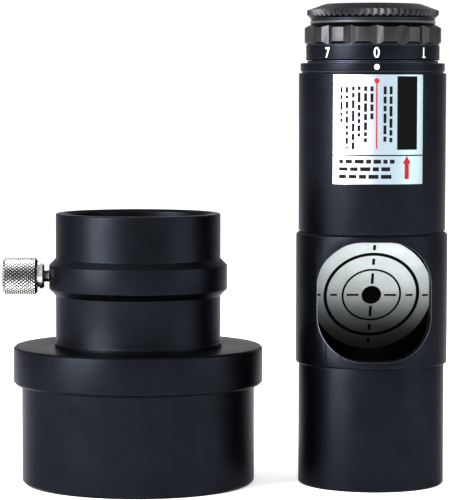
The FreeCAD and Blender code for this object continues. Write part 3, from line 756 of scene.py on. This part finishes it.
class COLLIMATOR_OT_target(bpy.types.Operator):
    """Leaning aluminium face with the beam's hole, its printed rings and its broken cross hair"""
    bl_idname = "collimator.target"
    bl_label = "Target"

    def execute(self, context):
        blank_low = 20
        beam_hole_r = 2.15
        module_hole_r = 5.0
        blank_middle = (TARGET_TOP + blank_low) / 2
        plug = rod(BORE_R - 0.02, TARGET_TOP - blank_low, (0, 0, blank_middle), sides=TURN_STEPS)
        plug.name = "leaning_target"
        take(plug)
        bpy.ops.object.mode_set(mode="EDIT")
        bpy.ops.mesh.select_all(action="SELECT")
        bpy.ops.mesh.bisect(
            plane_co=(0, 0, TARGET_Z * MM), plane_no=(0, -1, -1), use_fill=True, clear_outer=True)
        bpy.ops.object.mode_set(mode="OBJECT")
        combine(plug, rod(beam_hole_r, 60, (0, 0, 40)), "DIFFERENCE")
        combine(plug, rod(module_hole_r, 20, (0, 0, 58)), "DIFFERENCE")
        tidy_mesh(plug)
        hand_over(plug, MATERIALS["bore black"], "collimator", ["target_plug"])
        # only the leaning face is cut bare; the side and the beam's hole stay black
        plug.data.materials.append(MATERIALS["target"])
        pick(plug, "FACE", lambda face: face.normal.dot(Vector((0, -1, -1)).normalized()) > 0.99)
        plug.active_material_index = 1
        bpy.ops.object.material_slot_assign()
        bpy.ops.object.mode_set(mode="OBJECT")
        self.print_marks()
        return {"FINISHED"}

    def print_marks(self):
        stretch = 1.34  # the print is longer along the slope, so that it looks round from in front
        marks = [self.ring(10.45, 0.72), self.ring(6.5, 0.45)]
        cross_line = 0.48
        upright_line = 0.6
        for near, far in ((2.8, 5.4), (7.5, 9.0), (11.1, 12.3)):
            middle = (near + far) / 2
            for turn in range(4):
                deselect()
                x, y = polar(middle, turn * math.pi / 2)
                bpy.ops.mesh.primitive_plane_add(size=1, location=(x * MM, y * MM, 0))
                dash = bpy.context.object
                dash.scale = Vector((far - near, cross_line, 1)) * MM
                if turn % 2:
                    dash.scale = Vector((upright_line, far - near, 1)) * MM
                settle(dash)
                marks.append(dash)
        group = join("target_rings", marks)
        group.scale = (1, stretch, 1)
        settle(group)
        thicken(group, 0.03)
        group.rotation_euler = (math.radians(135), 0, 0)
        group.location = Vector((0, 0, TARGET_Z)) * MM
        settle(group)
        hand_over(group, MATERIALS["ink"], "collimator", ["target_print"])

    @staticmethod
    def ring(radius, line):
        deselect()
        bpy.ops.mesh.primitive_circle_add(vertices=144, radius=radius * MM, location=(0, 0, 0))
        ring = bpy.context.object
        bpy.ops.object.mode_set(mode="EDIT")
        bpy.ops.mesh.select_all(action="SELECT")
        inner = (radius - line) / radius
        bpy.ops.mesh.extrude_edges_move()
        bpy.ops.transform.resize(value=(inner, inner, 1))
        bpy.ops.mesh.select_all(action="SELECT")
        bpy.ops.mesh.normals_make_consistent(inside=False)
        bpy.ops.object.mode_set(mode="OBJECT")
        if ring.data.polygons[0].normal.z < 0:
            ring.data.flip_normals()
        return ring


class COLLIMATOR_OT_upper_housing(bpy.types.Operator):
    """Thick tube above the window, with holes for the alignment screws"""
    bl_idname = "collimator.upper_housing"
    bl_label = "Upper Housing"

    def execute(self, context):
        socket_r = 14.05
        socket_top = 60.7
        module_bore_r = 8.6
        chamber_r = 13.45
        chamber_floor = 82.0
        screw_hole_r = 1.5
        body = lathe("upper_tube", [
            (socket_r, BODY_JOINT_Z),
            (HOUSING_R - 0.3, BODY_JOINT_Z),
            (HOUSING_R - 0.3, BODY_JOINT_Z + 0.28),
            (HOUSING_R, BODY_JOINT_Z + 0.4),
            (HOUSING_R, HOUSING_TOP - 0.25),
            (HOUSING_R - 0.25, HOUSING_TOP),
            (chamber_r, HOUSING_TOP),
            (chamber_r, chamber_floor),
            (module_bore_r, chamber_floor),
            (module_bore_r, socket_top),
            (socket_r, socket_top),
        ])
        screw_z = (low_mm("alignment_screws").z + high_mm("alignment_screws").z) / 2
        for third in range(3):
            angle = FRONT + third * math.tau / 3
            x, y = polar(13, angle)
            hole = rod(screw_hole_r, 14, (x, y, screw_z), (0, math.pi / 2, angle), sides=48)
            combine(body, hole, "DIFFERENCE")
        hand_over(body, MATERIALS["anodised"], "collimator", ["upper_housing"])
        return {"FINISHED"}


class COLLIMATOR_OT_label(bpy.types.Operator):
    """Silver foil label with plain bars and blocks in place of any wording"""
    bl_idname = "collimator.label"
    bl_label = "Foil Label"

    # angles are in degrees from the front line, and heights in millimetres
    left = -34.4
    right = 38.4
    divider_z = 72.0
    line_high = 88.0
    proud = 0.075  # the print's inner side stands this far off the housing, above the foil
    ink_depth = 0.01

    def arc(self, degrees):
        """Distance round the housing from its front line."""
        return math.radians(degrees) * HOUSING_R

    def mark(self, degrees, heights, cuts=8):
        """A block of print between two angles and two heights."""
        return flat_patch("mark", [self.arc(angle) for angle in degrees], heights, cuts)

    def wrap_marks(self, name, marks, material, lift=0.0):
        group = join(name, marks)
        thicken(group, self.ink_depth)
        wrap(group, HOUSING_R + self.proud + lift, FRONT)
        hand_over(group, material, "collimator", [])

    def execute(self, context):
        foil = flat_patch(
            "foil_label", (self.arc(self.left), self.arc(self.right)), (LABEL_LOW, LABEL_HIGH), 64)
        thicken(foil, 0.06)
        wrap(foil, HOUSING_R + 0.01, FRONT)
        hand_over(foil, MATERIALS["foil"], "collimator", ["label"])
        self.wrap_marks("label_block", [self.mark((15.9, 33.0), (73.2, 88.75), 16)], MATERIALS["ink"])
        self.wrap_marks("label_bars", self.bars(), MATERIALS["label ink"])
        self.wrap_marks("label_pointer", self.pointer(), MATERIALS["label red"], 0.005)
        return {"FINISHED"}

    def bars(self):
        """Broken bars where lines of wording would be: upright ones above the divider, level ones below."""
        rows = random.Random(7)
        half_bar = 0.42
        bar_half_angle = 1.15
        shortest = 0.3
        gap = 0.45
        word_gap = 1.8
        bars = []
        columns = (
            (-27.5, 86.5, 79.0), (-23.0, 86.5, 73.5), (-18.0, 86.6, 73.3), (-13.5, 86.6, 76.0),
            (-8.5, 86.6, 74.6), (-3.7, 86.6, 79.4), (6.3, 86.6, 74.6), (10.9, 86.6, 74.8),
        )
        for angle, high, low in columns:
            sides = (angle - bar_half_angle, angle + bar_half_angle)
            z = high
            while z > low:
                length = min(rows.uniform(0.7, 2.4), z - low)
                if length > shortest:
                    bars.append(self.mark(sides, (z - length, z), 2))
                z -= length + gap
        for z in (70.7, 69.1, 67.5):
            angle = self.left + 5
            while angle < 12:
                wide = rows.uniform(3.0, 8.5)
                bars.append(self.mark((angle, min(angle + wide, 14)), (z - half_bar, z + half_bar), 4))
                angle += wide + word_gap
        half_line = 0.13
        heights = (self.divider_z - half_line, self.divider_z + half_line)
        bars.append(self.mark((self.left, self.right), heights, 48))
        return bars

    def pointer(self):
        """Red line with a dot at its upper end, and a red arrow that points up."""
        line = self.mark((-0.55, 0.55), (73.4, self.line_high), 2)
        deselect()
        bpy.ops.mesh.primitive_circle_add(
            vertices=24, radius=0.55 * MM, fill_type="NGON", location=(0, 0, (self.line_high - 0.2) * MM),
            rotation=(math.pi / 2, 0, 0))
        dot = bpy.context.object
        settle(dot)
        deselect()
        bpy.ops.mesh.primitive_circle_add(
            vertices=3, radius=1.1 * MM, fill_type="NGON",
            location=(self.arc(24.0) * MM, 0, 70.8 * MM), rotation=(math.pi / 2, 0, 0))
        arrowhead = bpy.context.object
        settle(arrowhead)
        # cut finely, so that it follows the tube when it is wrapped
        take(arrowhead)
        bpy.ops.object.mode_set(mode="EDIT")
        bpy.ops.mesh.select_all(action="SELECT")
        bpy.ops.mesh.subdivide(number_cuts=5)
        bpy.ops.object.mode_set(mode="OBJECT")
        shaft = self.mark((22.2, 25.8), (67.0, 70.25), 2)
        return [line, dot, arrowhead, shaft]


class COLLIMATOR_OT_index_ring(bpy.types.Operator):
    """Fixed ring under the dial, its neck and the white index dot"""
    bl_idname = "collimator.index_ring"
    bl_label = "Index Ring"

    def execute(self, context):
        low = 89.8
        high = 91.6
        lip_r = 14.2
        lip_top = 92.1
        inner_r = 8.4
        spigot_r = 13.4
        neck_r = 11.0
        clip_r = 10.35
        neck_step = 94.55
        ring = lathe("index_ring_and_neck", [
            (inner_r, INDEX_SPIGOT_LOW),
            (spigot_r, INDEX_SPIGOT_LOW),
            (spigot_r, HOUSING_TOP),
            (INDEX_R - 0.3, HOUSING_TOP),
            (INDEX_R - 0.3, low),
            (INDEX_R - 0.12, low),
            (INDEX_R, low + 0.15),
            (INDEX_R, high - 0.2),
            (INDEX_R - 0.2, high),
            (lip_r, high),
            (lip_r, lip_top),
            (lip_r - 0.35, lip_top),
            (lip_r - 0.35, high),
            (neck_r, high),
            (neck_r, neck_step),
            (clip_r, neck_step),
            (clip_r, NECK_TOP),
            (inner_r, NECK_TOP),
        ], soften=0.05)
        track_r = (low_mm("detent_ball").y + high_mm("detent_ball").y) / 2
        pocket_floor = 89.9
        pocket_depth = 3.0
        pocket = rod(0.85, pocket_depth, (0, track_r, pocket_floor + pocket_depth / 2), sides=32)
        combine(ring, pocket, "DIFFERENCE")
        hand_over(ring, MATERIALS["anodised"], "collimator", ["index_ring"])
        dot_z = (low_mm("index_dot").z + high_mm("index_dot").z) / 2
        deselect()
        bpy.ops.mesh.primitive_circle_add(
            vertices=48, radius=0.58 * MM, fill_type="NGON", location=(0, 0, dot_z * MM),
            rotation=(math.pi / 2, 0, 0))
        dot = context.object
        dot.name = "white_index_dot"
        settle(dot)
        take(dot)
        bpy.ops.object.mode_set(mode="EDIT")
        bpy.ops.mesh.select_all(action="SELECT")
        bpy.ops.mesh.inset(thickness=0.12 * MM)
        bpy.ops.mesh.extrude_region_move(TRANSFORM_OT_translate={"value": (0, -0.02 * MM, 0)})
        bpy.ops.object.mode_set(mode="OBJECT")
        thicken(dot, -0.02)
        wrap(dot, INDEX_R + 0.03, FRONT)
        hand_over(dot, MATERIALS["paint"], "collimator", ["index_dot"])
        return {"FINISHED"}


class COLLIMATOR_OT_dial(bpy.types.Operator):
    """Brightness dial: smooth numbered band below, grip with sixteen V grooves above"""
    bl_idname = "collimator.dial"
    bl_label = "Brightness Dial"

    def execute(self, context):
        sizes = context.scene.collimator_sizes
        band_r = 14.5
        band_top = 95.5
        grip_low = 95.65
        grip_r = high_mm("dial").y
        grip_edge = 99.2
        hub_r = 11.05
        hub_top = 94.5
        track_in = 11.95
        track_out = 13.75
        track_roof = DIAL_LOW + 0.42
        cap_thread_r = 13.0
        cap_floor = 96.6
        wall_r = 12.4
        dial = lathe("brightness_dial", [
            (hub_r, DIAL_LOW),
            (track_in, DIAL_LOW),
            (track_in, track_roof),
            (track_out, track_roof),
            (track_out, DIAL_LOW),
            (band_r - 0.2, DIAL_LOW),
            (band_r, DIAL_LOW + 0.2),
            (band_r, band_top - 0.15),
            (band_r - 0.2, band_top),
            (band_r - 0.2, grip_low),
            (grip_r - 0.45, grip_low),
            (grip_r, grip_low + 0.5),
            (grip_r, grip_edge),
            (13.45, DIAL_TOP),
            (cap_thread_r, DIAL_TOP),
            (cap_thread_r, cap_floor),
            (wall_r, cap_floor),
            (wall_r, hub_top),
            (hub_r, hub_top),
        ], soften=0.05)
        groove_depth = sizes.groove_depth / MM
        valley = grip_r - groove_depth
        outside = grip_r + groove_depth
        wide = sizes.groove_width / MM
        for k in range(sizes.grip_grooves):
            turn = Matrix.Rotation(FRONT + k * math.tau / sizes.grip_grooves, 2)
            corners = [turn @ Vector(corner) for corner in ((valley, 0), (outside, wide), (outside, -wide))]
            combine(dial, prism("groove", corners, grip_low, DIAL_TOP + 1), "DIFFERENCE")
        tidy_mesh(dial)
        soften_edges(dial, 0.05, degrees=18)
        hand_over(dial, MATERIALS["anodised"], "dial", ["dial"], smooth=16)
        paint_milled(dial, grip_low, grip_edge + 0.1, band_r - 0.4)
        self.number(sizes, band_r)
        return {"FINISHED"}

    def number(self, sizes, band_r):
        """Numerals for the brightness levels, wrapped on the band."""
        middle = (low_mm("dial_numerals").z + high_mm("dial_numerals").z) / 2
        cap_share = 0.729  # a capital's height as a share of the font's size
        figures = []
        levels = 8
        height = sizes.figure_height / MM
        foot_z = middle - height / 2
        for level in range(levels):
            deselect()
            bpy.ops.object.text_add(location=(0, 0, 0))
            figure = bpy.context.object
            figure.data.body = str(level)
            figure.data.align_x = "CENTER"
            figure.data.size = height / cap_share * MM
            figure.data.resolution_u = 8
            figure.data.offset = 0.02 * MM
            figure.data.extrude = 0.02 * MM
            bpy.ops.object.convert(target="MESH")
            figure.scale = (0.84, 1, 1)
            figure.rotation_euler = (math.pi / 2, 0, 0)
            figure.location = (0, 0, foot_z * MM)
            settle(figure)
            parts = [figure]
            if level == 1:
                deselect()
                # the font's 1 has no foot, and the dial's has a short one
                bpy.ops.mesh.primitive_cube_add(size=1, location=(0.1 * MM, 0, (foot_z + 0.1) * MM))
                foot = bpy.context.object
                foot.scale = Vector((0.95, 0.039, 0.24)) * MM
                settle(foot)
                parts.append(foot)
            figure = join("figure", parts)
            wrap(figure, band_r + 0.02, FRONT + level * math.tau / levels)
            figures.append(figure)
        group = join("dial_figures", figures)
        hand_over(group, MATERIALS["paint"], "dial", ["dial_numerals"])


class COLLIMATOR_OT_seal(bpy.types.Operator):
    """Rubber ring between the dial and the battery cap"""
    bl_idname = "collimator.seal"
    bl_label = "Seal Ring"

    def execute(self, context):
        deselect()
        bpy.ops.mesh.primitive_torus_add(
            major_segments=TURN_STEPS, minor_segments=28, major_radius=SEAL_RING_R * MM,
            minor_radius=SEAL_CORD_R * MM, location=(0, 0, SEAL_Z * MM))
        ring = context.object
        ring.name = "seal_ring"
        settle(ring)
        flash_r = SEAL_RING_R + SEAL_CORD_R
        near_line = 0.03 * MM

        def on_mould_line(vertex):
            outward = math.hypot(vertex.co.x, vertex.co.y) > (flash_r - 0.01) * MM
            return outward and abs(vertex.co.z - SEAL_Z * MM) < near_line

        pick(ring, "VERT", on_mould_line)
        shrink = (flash_r - 0.015) / flash_r
        bpy.ops.transform.resize(value=(shrink, shrink, 1), center_override=(0, 0, SEAL_Z * MM))
        bpy.ops.object.mode_set(mode="OBJECT")
        hand_over(ring, MATERIALS["rubber"], "cap_seal", ["cap_o_ring"], smooth=80)
        return {"FINISHED"}


class COLLIMATOR_OT_battery_cap(bpy.types.Operator):
    """Screw cap over the battery, with a serrated rim and a sloping top"""
    bl_idname = "collimator.battery_cap"
    bl_label = "Battery Cap"

    def execute(self, context):
        sizes = context.scene.collimator_sizes
        collar_low = 100.95
        collar_r = 13.5
        slope_low = 101.25
        rim_low = 102.05
        rim_top = 102.97
        rim_r = high_mm("battery_cap").y
        gland_r = SEAL_RING_R - SEAL_CORD_R - 0.02
        roof = 102.2
        skirt_in = 11.6
        skirt_out = 12.95
        blank = [
            (0, roof),
            (skirt_in, roof),
            (skirt_in, SKIRT_LOW),
            (skirt_out - 0.2, SKIRT_LOW),
            (skirt_out, SKIRT_LOW + 0.2),
            (skirt_out, DIAL_TOP - 0.03),
            (gland_r, DIAL_TOP - 0.03),
            (gland_r, collar_low),
            (collar_r, collar_low),
            (collar_r, slope_low),
            (rim_r, rim_low),
            (rim_r, rim_top),
            (10.6, CAP_TOP - 0.1),
            (10.1, CAP_TOP),
            (0, CAP_TOP),
        ]
        cap = lathe("battery_screw_cap", blank, soften=0.05)
        tooth_root_r = rim_r - sizes.cap_tooth_depth / MM
        corners = []
        count = 2 * sizes.cap_teeth
        for k in range(count):
            radius = rim_r + 0.01 if k % 2 == 0 else tooth_root_r
            corners.append(polar(radius, FRONT + k * math.tau / count))
        teeth = prism("teeth", corners, SKIRT_LOW - 1, CAP_TOP + 1)
        combine(cap, teeth, "INTERSECT")
        tidy_mesh(cap)
        soften_edges(cap, 0.03, degrees=25)
        hand_over(cap, MATERIALS["anodised"], "battery_cap", ["battery_cap"],
                  smooth=16)
        paint_milled(cap, slope_low, rim_top + 0.1, tooth_root_r - 0.1)
        return {"FINISHED"}


# Adapter

class COLLIMATOR_OT_adapter_barrel(bpy.types.Operator):
    """Two inch barrel of the adapter and its wide flange"""
    bl_idname = "collimator.adapter_barrel"
    bl_label = "Adapter Barrel"

    def execute(self, context):
        barrel_top = 21.7
        bore_r = 23.4
        throat_r = 17.4
        thread_low = 1.2
        pitch = 0.75
        thread = []
        for turn in range(6):
            z = thread_low + turn * pitch
            thread += [(bore_r + 0.3, z + 0.37), (bore_r, z + pitch)]
        outline = [
            (bore_r, thread_low),
            (bore_r + 0.5, 0),
            (WIDE_BARREL_R - 0.7, 0),
            (WIDE_BARREL_R, 0.7),
            (WIDE_BARREL_R, barrel_top),
            (FLANGE_R - 0.6, barrel_top),
            (FLANGE_R, barrel_top + 0.6),
            (FLANGE_R, FLANGE_TOP - 0.45),
            (FLANGE_R - 0.45, FLANGE_TOP),
            (throat_r, FLANGE_TOP),
            (throat_r, SOCKET_LOW),
            (bore_r, SOCKET_LOW),
        ]
        outline += thread[::-1]
        barrel = lathe("wide_barrel_and_flange", outline, ADAPTER_X, soften=0.1)
        hand_over(barrel, MATERIALS["anodised"], "adapter", ["adapter_barrel"])
        return {"FINISHED"}


class COLLIMATOR_OT_adapter_socket(bpy.types.Operator):
    """Socket tube of the adapter: raised band outside, groove for the clamping ring inside"""
    bl_idname = "collimator.adapter_socket"
    bl_label = "Adapter Socket"

    def execute(self, context):
        tube_r = 18.0
        band_low = 42.5
        band_high = 47.65
        slope = BAND_R - tube_r + 0.05
        groove_r = 17.4
        collar_top = 30.9
        thread_r = 17.35
        screw_hole_r = 1.5
        socket = lathe("eyepiece_socket", [
            (SOCKET_BORE_R, SOCKET_LOW),
            (thread_r, SOCKET_LOW),
            (thread_r, FLANGE_TOP),
            (tube_r + 0.2, FLANGE_TOP),
            (tube_r + 0.2, collar_top - 0.25),
            (tube_r, collar_top),
            (tube_r, band_low - slope),
            (BAND_R, band_low),
            (BAND_R, band_high),
            (tube_r, band_high + slope),
            (tube_r, SOCKET_TOP - 0.25),
            (tube_r - 0.25, SOCKET_TOP),
            (SOCKET_BORE_R + 0.6, SOCKET_TOP),
            (SOCKET_BORE_R, SOCKET_TOP - 0.6),
            (SOCKET_BORE_R, CLAMP_HIGH + 0.1),
            (groove_r, CLAMP_HIGH + 0.1),
            (groove_r, CLAMP_LOW - 0.1),
            (SOCKET_BORE_R, CLAMP_LOW - 0.1),
        ], ADAPTER_X)
        hole = rod(screw_hole_r, 8, (ADAPTER_X - tube_r, 0, SCREW_Z), (0, math.pi / 2, 0), sides=48)
        combine(socket, hole, "DIFFERENCE")
        hand_over(socket, MATERIALS["anodised"], "adapter", ["adapter_socket"])
        return {"FINISHED"}


class COLLIMATOR_OT_clamp_ring(bpy.types.Operator):
    """Split brass ring that the thumbscrew presses on the barrel in the socket"""
    bl_idname = "collimator.clamp_ring"
    bl_label = "Clamping Ring"

    def execute(self, context):
        inner = 16.05
        ring = lathe("brass_clamp_ring", [
            (inner, CLAMP_LOW + 0.2),
            (inner + 0.2, CLAMP_LOW),
            (CLAMP_OUTER_R, CLAMP_LOW),
            (CLAMP_OUTER_R, CLAMP_HIGH),
            (inner + 0.2, CLAMP_HIGH),
            (inner, CLAMP_HIGH - 0.2),
        ], ADAPTER_X)
        deselect()
        bpy.ops.mesh.primitive_cube_add(size=1, location=Vector((ADAPTER_X + 15, 0, SCREW_Z)) * MM)
        gap = context.object
        gap.scale = Vector((10, 5, 10)) * MM
        settle(gap)
        combine(ring, gap, "DIFFERENCE")
        hand_over(ring, MATERIALS["brass"], "clamp", ["compression_ring"])
        return {"FINISHED"}


class COLLIMATOR_OT_thumbscrew(bpy.types.Operator):
    """Plated thumbscrew: diamond-knurled head, stepped neck and threaded shank"""
    bl_idname = "collimator.thumbscrew"
    bl_label = "Thumbscrew"

    def execute(self, context):
        sizes = context.scene.collimator_sizes
        neck_in = 20.4
        neck_r = 2.85
        relief_r = 2.55
        pitch = 0.5
        crest_r = 1.45
        root_r = 1.17
        outline = [(0, SCREW_TIP), (0.9, SCREW_TIP)]
        reach = SCREW_TIP + 0.35
        while reach < neck_in - pitch:
            outline += [(crest_r, reach), (root_r, reach + pitch / 2)]
            reach += pitch
        outline += [
            (1.4, neck_in),
            (neck_r - 0.4, neck_in),
            (neck_r, neck_in + 0.4),
            (neck_r, HEAD_IN - 0.45),
            (relief_r, HEAD_IN - 0.35),
            (relief_r, HEAD_IN + 0.05),
            (0, HEAD_IN + 0.05),
        ]
        core = lathe("shank", outline, soften=0, steps=64)
        head = self.knurled_head(sizes, HEAD_IN, SCREW_OUT)
        screw = join("knurled_thumbscrew", [head, core])
        screw.rotation_euler = (0, math.radians(-90), 0)
        screw.location = Vector((ADAPTER_X, 0, SCREW_Z)) * MM
        hand_over(screw, MATERIALS["plated"], "thumbscrew", ["thumbscrew"], smooth=20)
        return {"FINISHED"}

    @staticmethod
    def edge_run(mesh, line):
        """How far an edge runs round and along the head."""
        start, end = (mesh.vertices[i].co for i in line.vertices)
        turn = math.atan2(start.y, start.x) - math.atan2(end.y, end.x)
        return (turn, start.z - end.z)

    def knurled_head(self, sizes, low, high):
        """A sleeve whose vertices stand high and low in turn, closed at both ends by chamfers."""
        around = 2 * sizes.knurl_round
        rows = 2 * sizes.knurl_long
        edge = KNURL_EDGE
        chamfer = 0.75
        deselect()
        bpy.ops.mesh.primitive_cylinder_add(
            vertices=around, radius=SCREW_HEAD_R * MM, depth=(high - low - 2 * edge) * MM,
            end_fill_type="NOTHING", location=(0, 0, (low + high) / 2 * MM))
        head = bpy.context.object
        settle(head)
        pick(head, "EDGE", lambda edge: abs(self.edge_run(head.data, edge)[1]) > MM)
        bpy.ops.mesh.subdivide(number_cuts=rows - 1)
        bpy.ops.object.mode_set(mode="OBJECT")
        bottom = (low + edge) * MM
        step = (high - low - 2 * edge) * MM / rows
        deep = (SCREW_HEAD_R - sizes.knurl_depth / MM) / SCREW_HEAD_R
        low_points = set()
        for vertex in head.data.vertices:
            column = round((math.atan2(vertex.co.y, vertex.co.x) % math.tau) / math.tau * around)
            row = round((vertex.co.z - bottom) / step)
            if (column + row) % 2:
                low_points.add(vertex.index)
                vertex.co.x *= deep
                vertex.co.y *= deep
        # every square is split between its two low corners, so the grooves run straight and the
        # diamonds stand between them
        pick(head, "FACE", lambda face: True)
        bpy.ops.mesh.quads_convert_to_tris(quad_method="FIXED")
        bpy.ops.object.mode_set(mode="OBJECT")
        mesh = head.data
        wrong = set()
        for line in mesh.edges:
            ends = [i in low_points for i in line.vertices]
            slanted = all(abs(part) > 1e-6 for part in self.edge_run(mesh, line))
            if slanted and not any(ends):
                wrong.add(line.index)
        pick(head, "EDGE", lambda edge: edge.index in wrong)
        bpy.ops.mesh.edge_rotate(use_ccw=False)
        bpy.ops.object.mode_set(mode="OBJECT")
        for level, out in ((low + edge, -edge), (high - edge, edge)):
            pick(head, "VERT", lambda v: abs(v.co.z - level * MM) < 1e-6)
            bpy.ops.mesh.extrude_edges_move()
            shrink = (SCREW_HEAD_R - chamfer) / SCREW_HEAD_R
            bpy.ops.transform.resize(value=(shrink, shrink, 1), center_override=(0, 0, level * MM))
            bpy.ops.transform.translate(value=(0, 0, out * MM))
            bpy.ops.mesh.edge_face_add()
            bpy.ops.object.mode_set(mode="OBJECT")
        tidy_mesh(head)
        return head


# Pieces that keep their CAD shape

class COLLIMATOR_OT_inner_parts(bpy.types.Operator):
    """Give the inner parts, which keep their CAD shapes, their own materials"""
    bl_idname = "collimator.inner_parts"
    bl_label = "Inner Parts"

    finishes = {
        "laser_housing": "brass",
        "lens_retainer": "brass",
        "dial_retainer": "brass",
        "collimating_lens": "glass",
        "lens_spring": "spring",
        "detent_spring": "spring",
        "cap_spring": "spring",
        "laser_diode": "plated",
        "detent_ball": "plated",
        "driver_board": "board",
        "switch_board": "board",
        "module_o_ring": "rubber",
        "alignment_screws": "black steel",
        "lead_wires": "wire",
        "cell_holder": "plastic",
        "cell_contact": "bronze",
        "wiper_contact": "bronze",
        "coin_cell": "cell",
    }

    def execute(self, context):
        for node, finish in self.finishes.items():
            piece = NODES[node]
            piece.data.materials.clear()
            piece.data.materials.append(MATERIALS[finish])
        return {"FINISHED"}


# Stage

class COLLIMATOR_OT_stage(bpy.types.Operator):
    """Pale floor, soft studio light and the camera"""
    bl_idname = "collimator.stage"
    bl_label = "Stage"

    def execute(self, context):
        self.floor()
        self.world(context)
        self.soft_box("key light", azimuth=-54, distance=700, height=330, size=(420, 760), power=19.0)
        self.soft_box("fill light", azimuth=66, distance=800, height=260, size=(520, 620), power=3.0)
        self.camera(context)
        context.scene.view_settings.view_transform = "Standard"
        return {"FINISHED"}

    @staticmethod
    def floor():
        deselect()
        bpy.ops.mesh.primitive_plane_add(size=12, location=(0, 0, -0.00002))
        floor = bpy.context.object
        floor.name = "pale_floor"
        material, tree, shader, place = start_material("Pale paper floor")
        shader.inputs["Base Color"].default_value = linear("#FAFAFA")
        shader.inputs["Roughness"].default_value = 0.9
        shader.inputs["Specular IOR Level"].default_value = 0.1
        # lit from beneath like a light table, so that it stays white under the pieces
        shader.inputs["Emission Color"].default_value = (1, 1, 1, 1)
        shader.inputs["Emission Strength"].default_value = 0.45
        floor.data.materials.append(material)

    @staticmethod
    def world(context):
        world = bpy.data.worlds.new("White studio")
        world.use_nodes = True
        backdrop = world.node_tree.nodes["Background"]
        backdrop.inputs["Color"].default_value = (1, 1, 1, 1)
        backdrop.inputs["Strength"].default_value = 1.1
        context.scene.world = world

    @staticmethod
    def soft_box(name, azimuth, distance, height, size, power):
        """A large soft light. Azimuth 0 is beside the camera, and positive to its right."""
        deselect()
        middle = Vector((ADAPTER_X / 2, 0, 55))
        angle = math.radians(azimuth)
        place = Vector((middle.x + distance * math.sin(angle), -distance * math.cos(angle), height))
        bpy.ops.object.light_add(type="AREA", location=place * MM)
        light = bpy.context.object
        light.name = name
        light.data.shape = "RECTANGLE"
        light.data.size = size[0] * MM
        light.data.size_y = size[1] * MM
        light.data.energy = power
        light.rotation_euler = (middle - place).to_track_quat("-Z", "Y").to_euler()

    @staticmethod
    def camera(context):
        deselect()
        eye = Vector((-32.0, -548.3, 87.1))
        bpy.ops.object.camera_add(location=eye * MM)
        camera = context.object
        camera.name = "camera"
        camera.data.sensor_width = 36
        camera.data.lens = 181.2
        camera.data.clip_start = 0.01
        camera.data.clip_end = 20
        tilt = Matrix.Rotation(math.radians(90 - 3.78), 4, "X")
        roll = Matrix.Rotation(math.radians(0.1), 4, "Z")
        camera.matrix_world = Matrix.Translation(eye * MM) @ tilt @ roll
        context.scene.camera = camera


# Panel and registration

STEPS = (
    "lower_body", "target", "upper_housing", "label", "index_ring", "dial", "seal", "battery_cap",
    "adapter_barrel", "adapter_socket", "clamp_ring", "thumbscrew", "inner_parts", "stage",
)


class COLLIMATOR_PT_sidebar(bpy.types.Panel):
    """Lists the sizes, the colours and the pieces in the order that they are made"""
    bl_idname = "COLLIMATOR_PT_sidebar"
    bl_label = "Laser Collimator"
    bl_space_type = "VIEW_3D"
    bl_region_type = "UI"
    bl_category = "Collimator"

    def draw(self, context):
        for group in (context.scene.collimator_sizes, context.scene.collimator_colours):
            box = self.layout.box()
            for name in group.bl_rna.properties.keys():
                if name not in ("rna_type", "name"):
                    box.prop(group, name)
        for step in STEPS:
            self.layout.operator("collimator." + step)


CLASSES = (
    CollimatorSizes,
    CollimatorColours,
    COLLIMATOR_OT_lower_body,
    COLLIMATOR_OT_target,
    COLLIMATOR_OT_upper_housing,
    COLLIMATOR_OT_label,
    COLLIMATOR_OT_index_ring,
    COLLIMATOR_OT_dial,
    COLLIMATOR_OT_seal,
    COLLIMATOR_OT_battery_cap,
    COLLIMATOR_OT_adapter_barrel,
    COLLIMATOR_OT_adapter_socket,
    COLLIMATOR_OT_clamp_ring,
    COLLIMATOR_OT_thumbscrew,
    COLLIMATOR_OT_inner_parts,
    COLLIMATOR_OT_stage,
    COLLIMATOR_PT_sidebar,
)


def register():
    for item in CLASSES:
        bpy.utils.register_class(item)
    bpy.types.Scene.collimator_sizes = bpy.props.PointerProperty(type=CollimatorSizes)
    bpy.types.Scene.collimator_colours = bpy.props.PointerProperty(type=CollimatorColours)


def unregister():
    del bpy.types.Scene.collimator_colours
    del bpy.types.Scene.collimator_sizes
    for item in reversed(CLASSES):
        bpy.utils.unregister_class(item)


def main():
    register()
    make_materials()
    for step in STEPS:
        getattr(bpy.ops.collimator, step)()
    deselect()


if __name__ == "__main__":
    main()
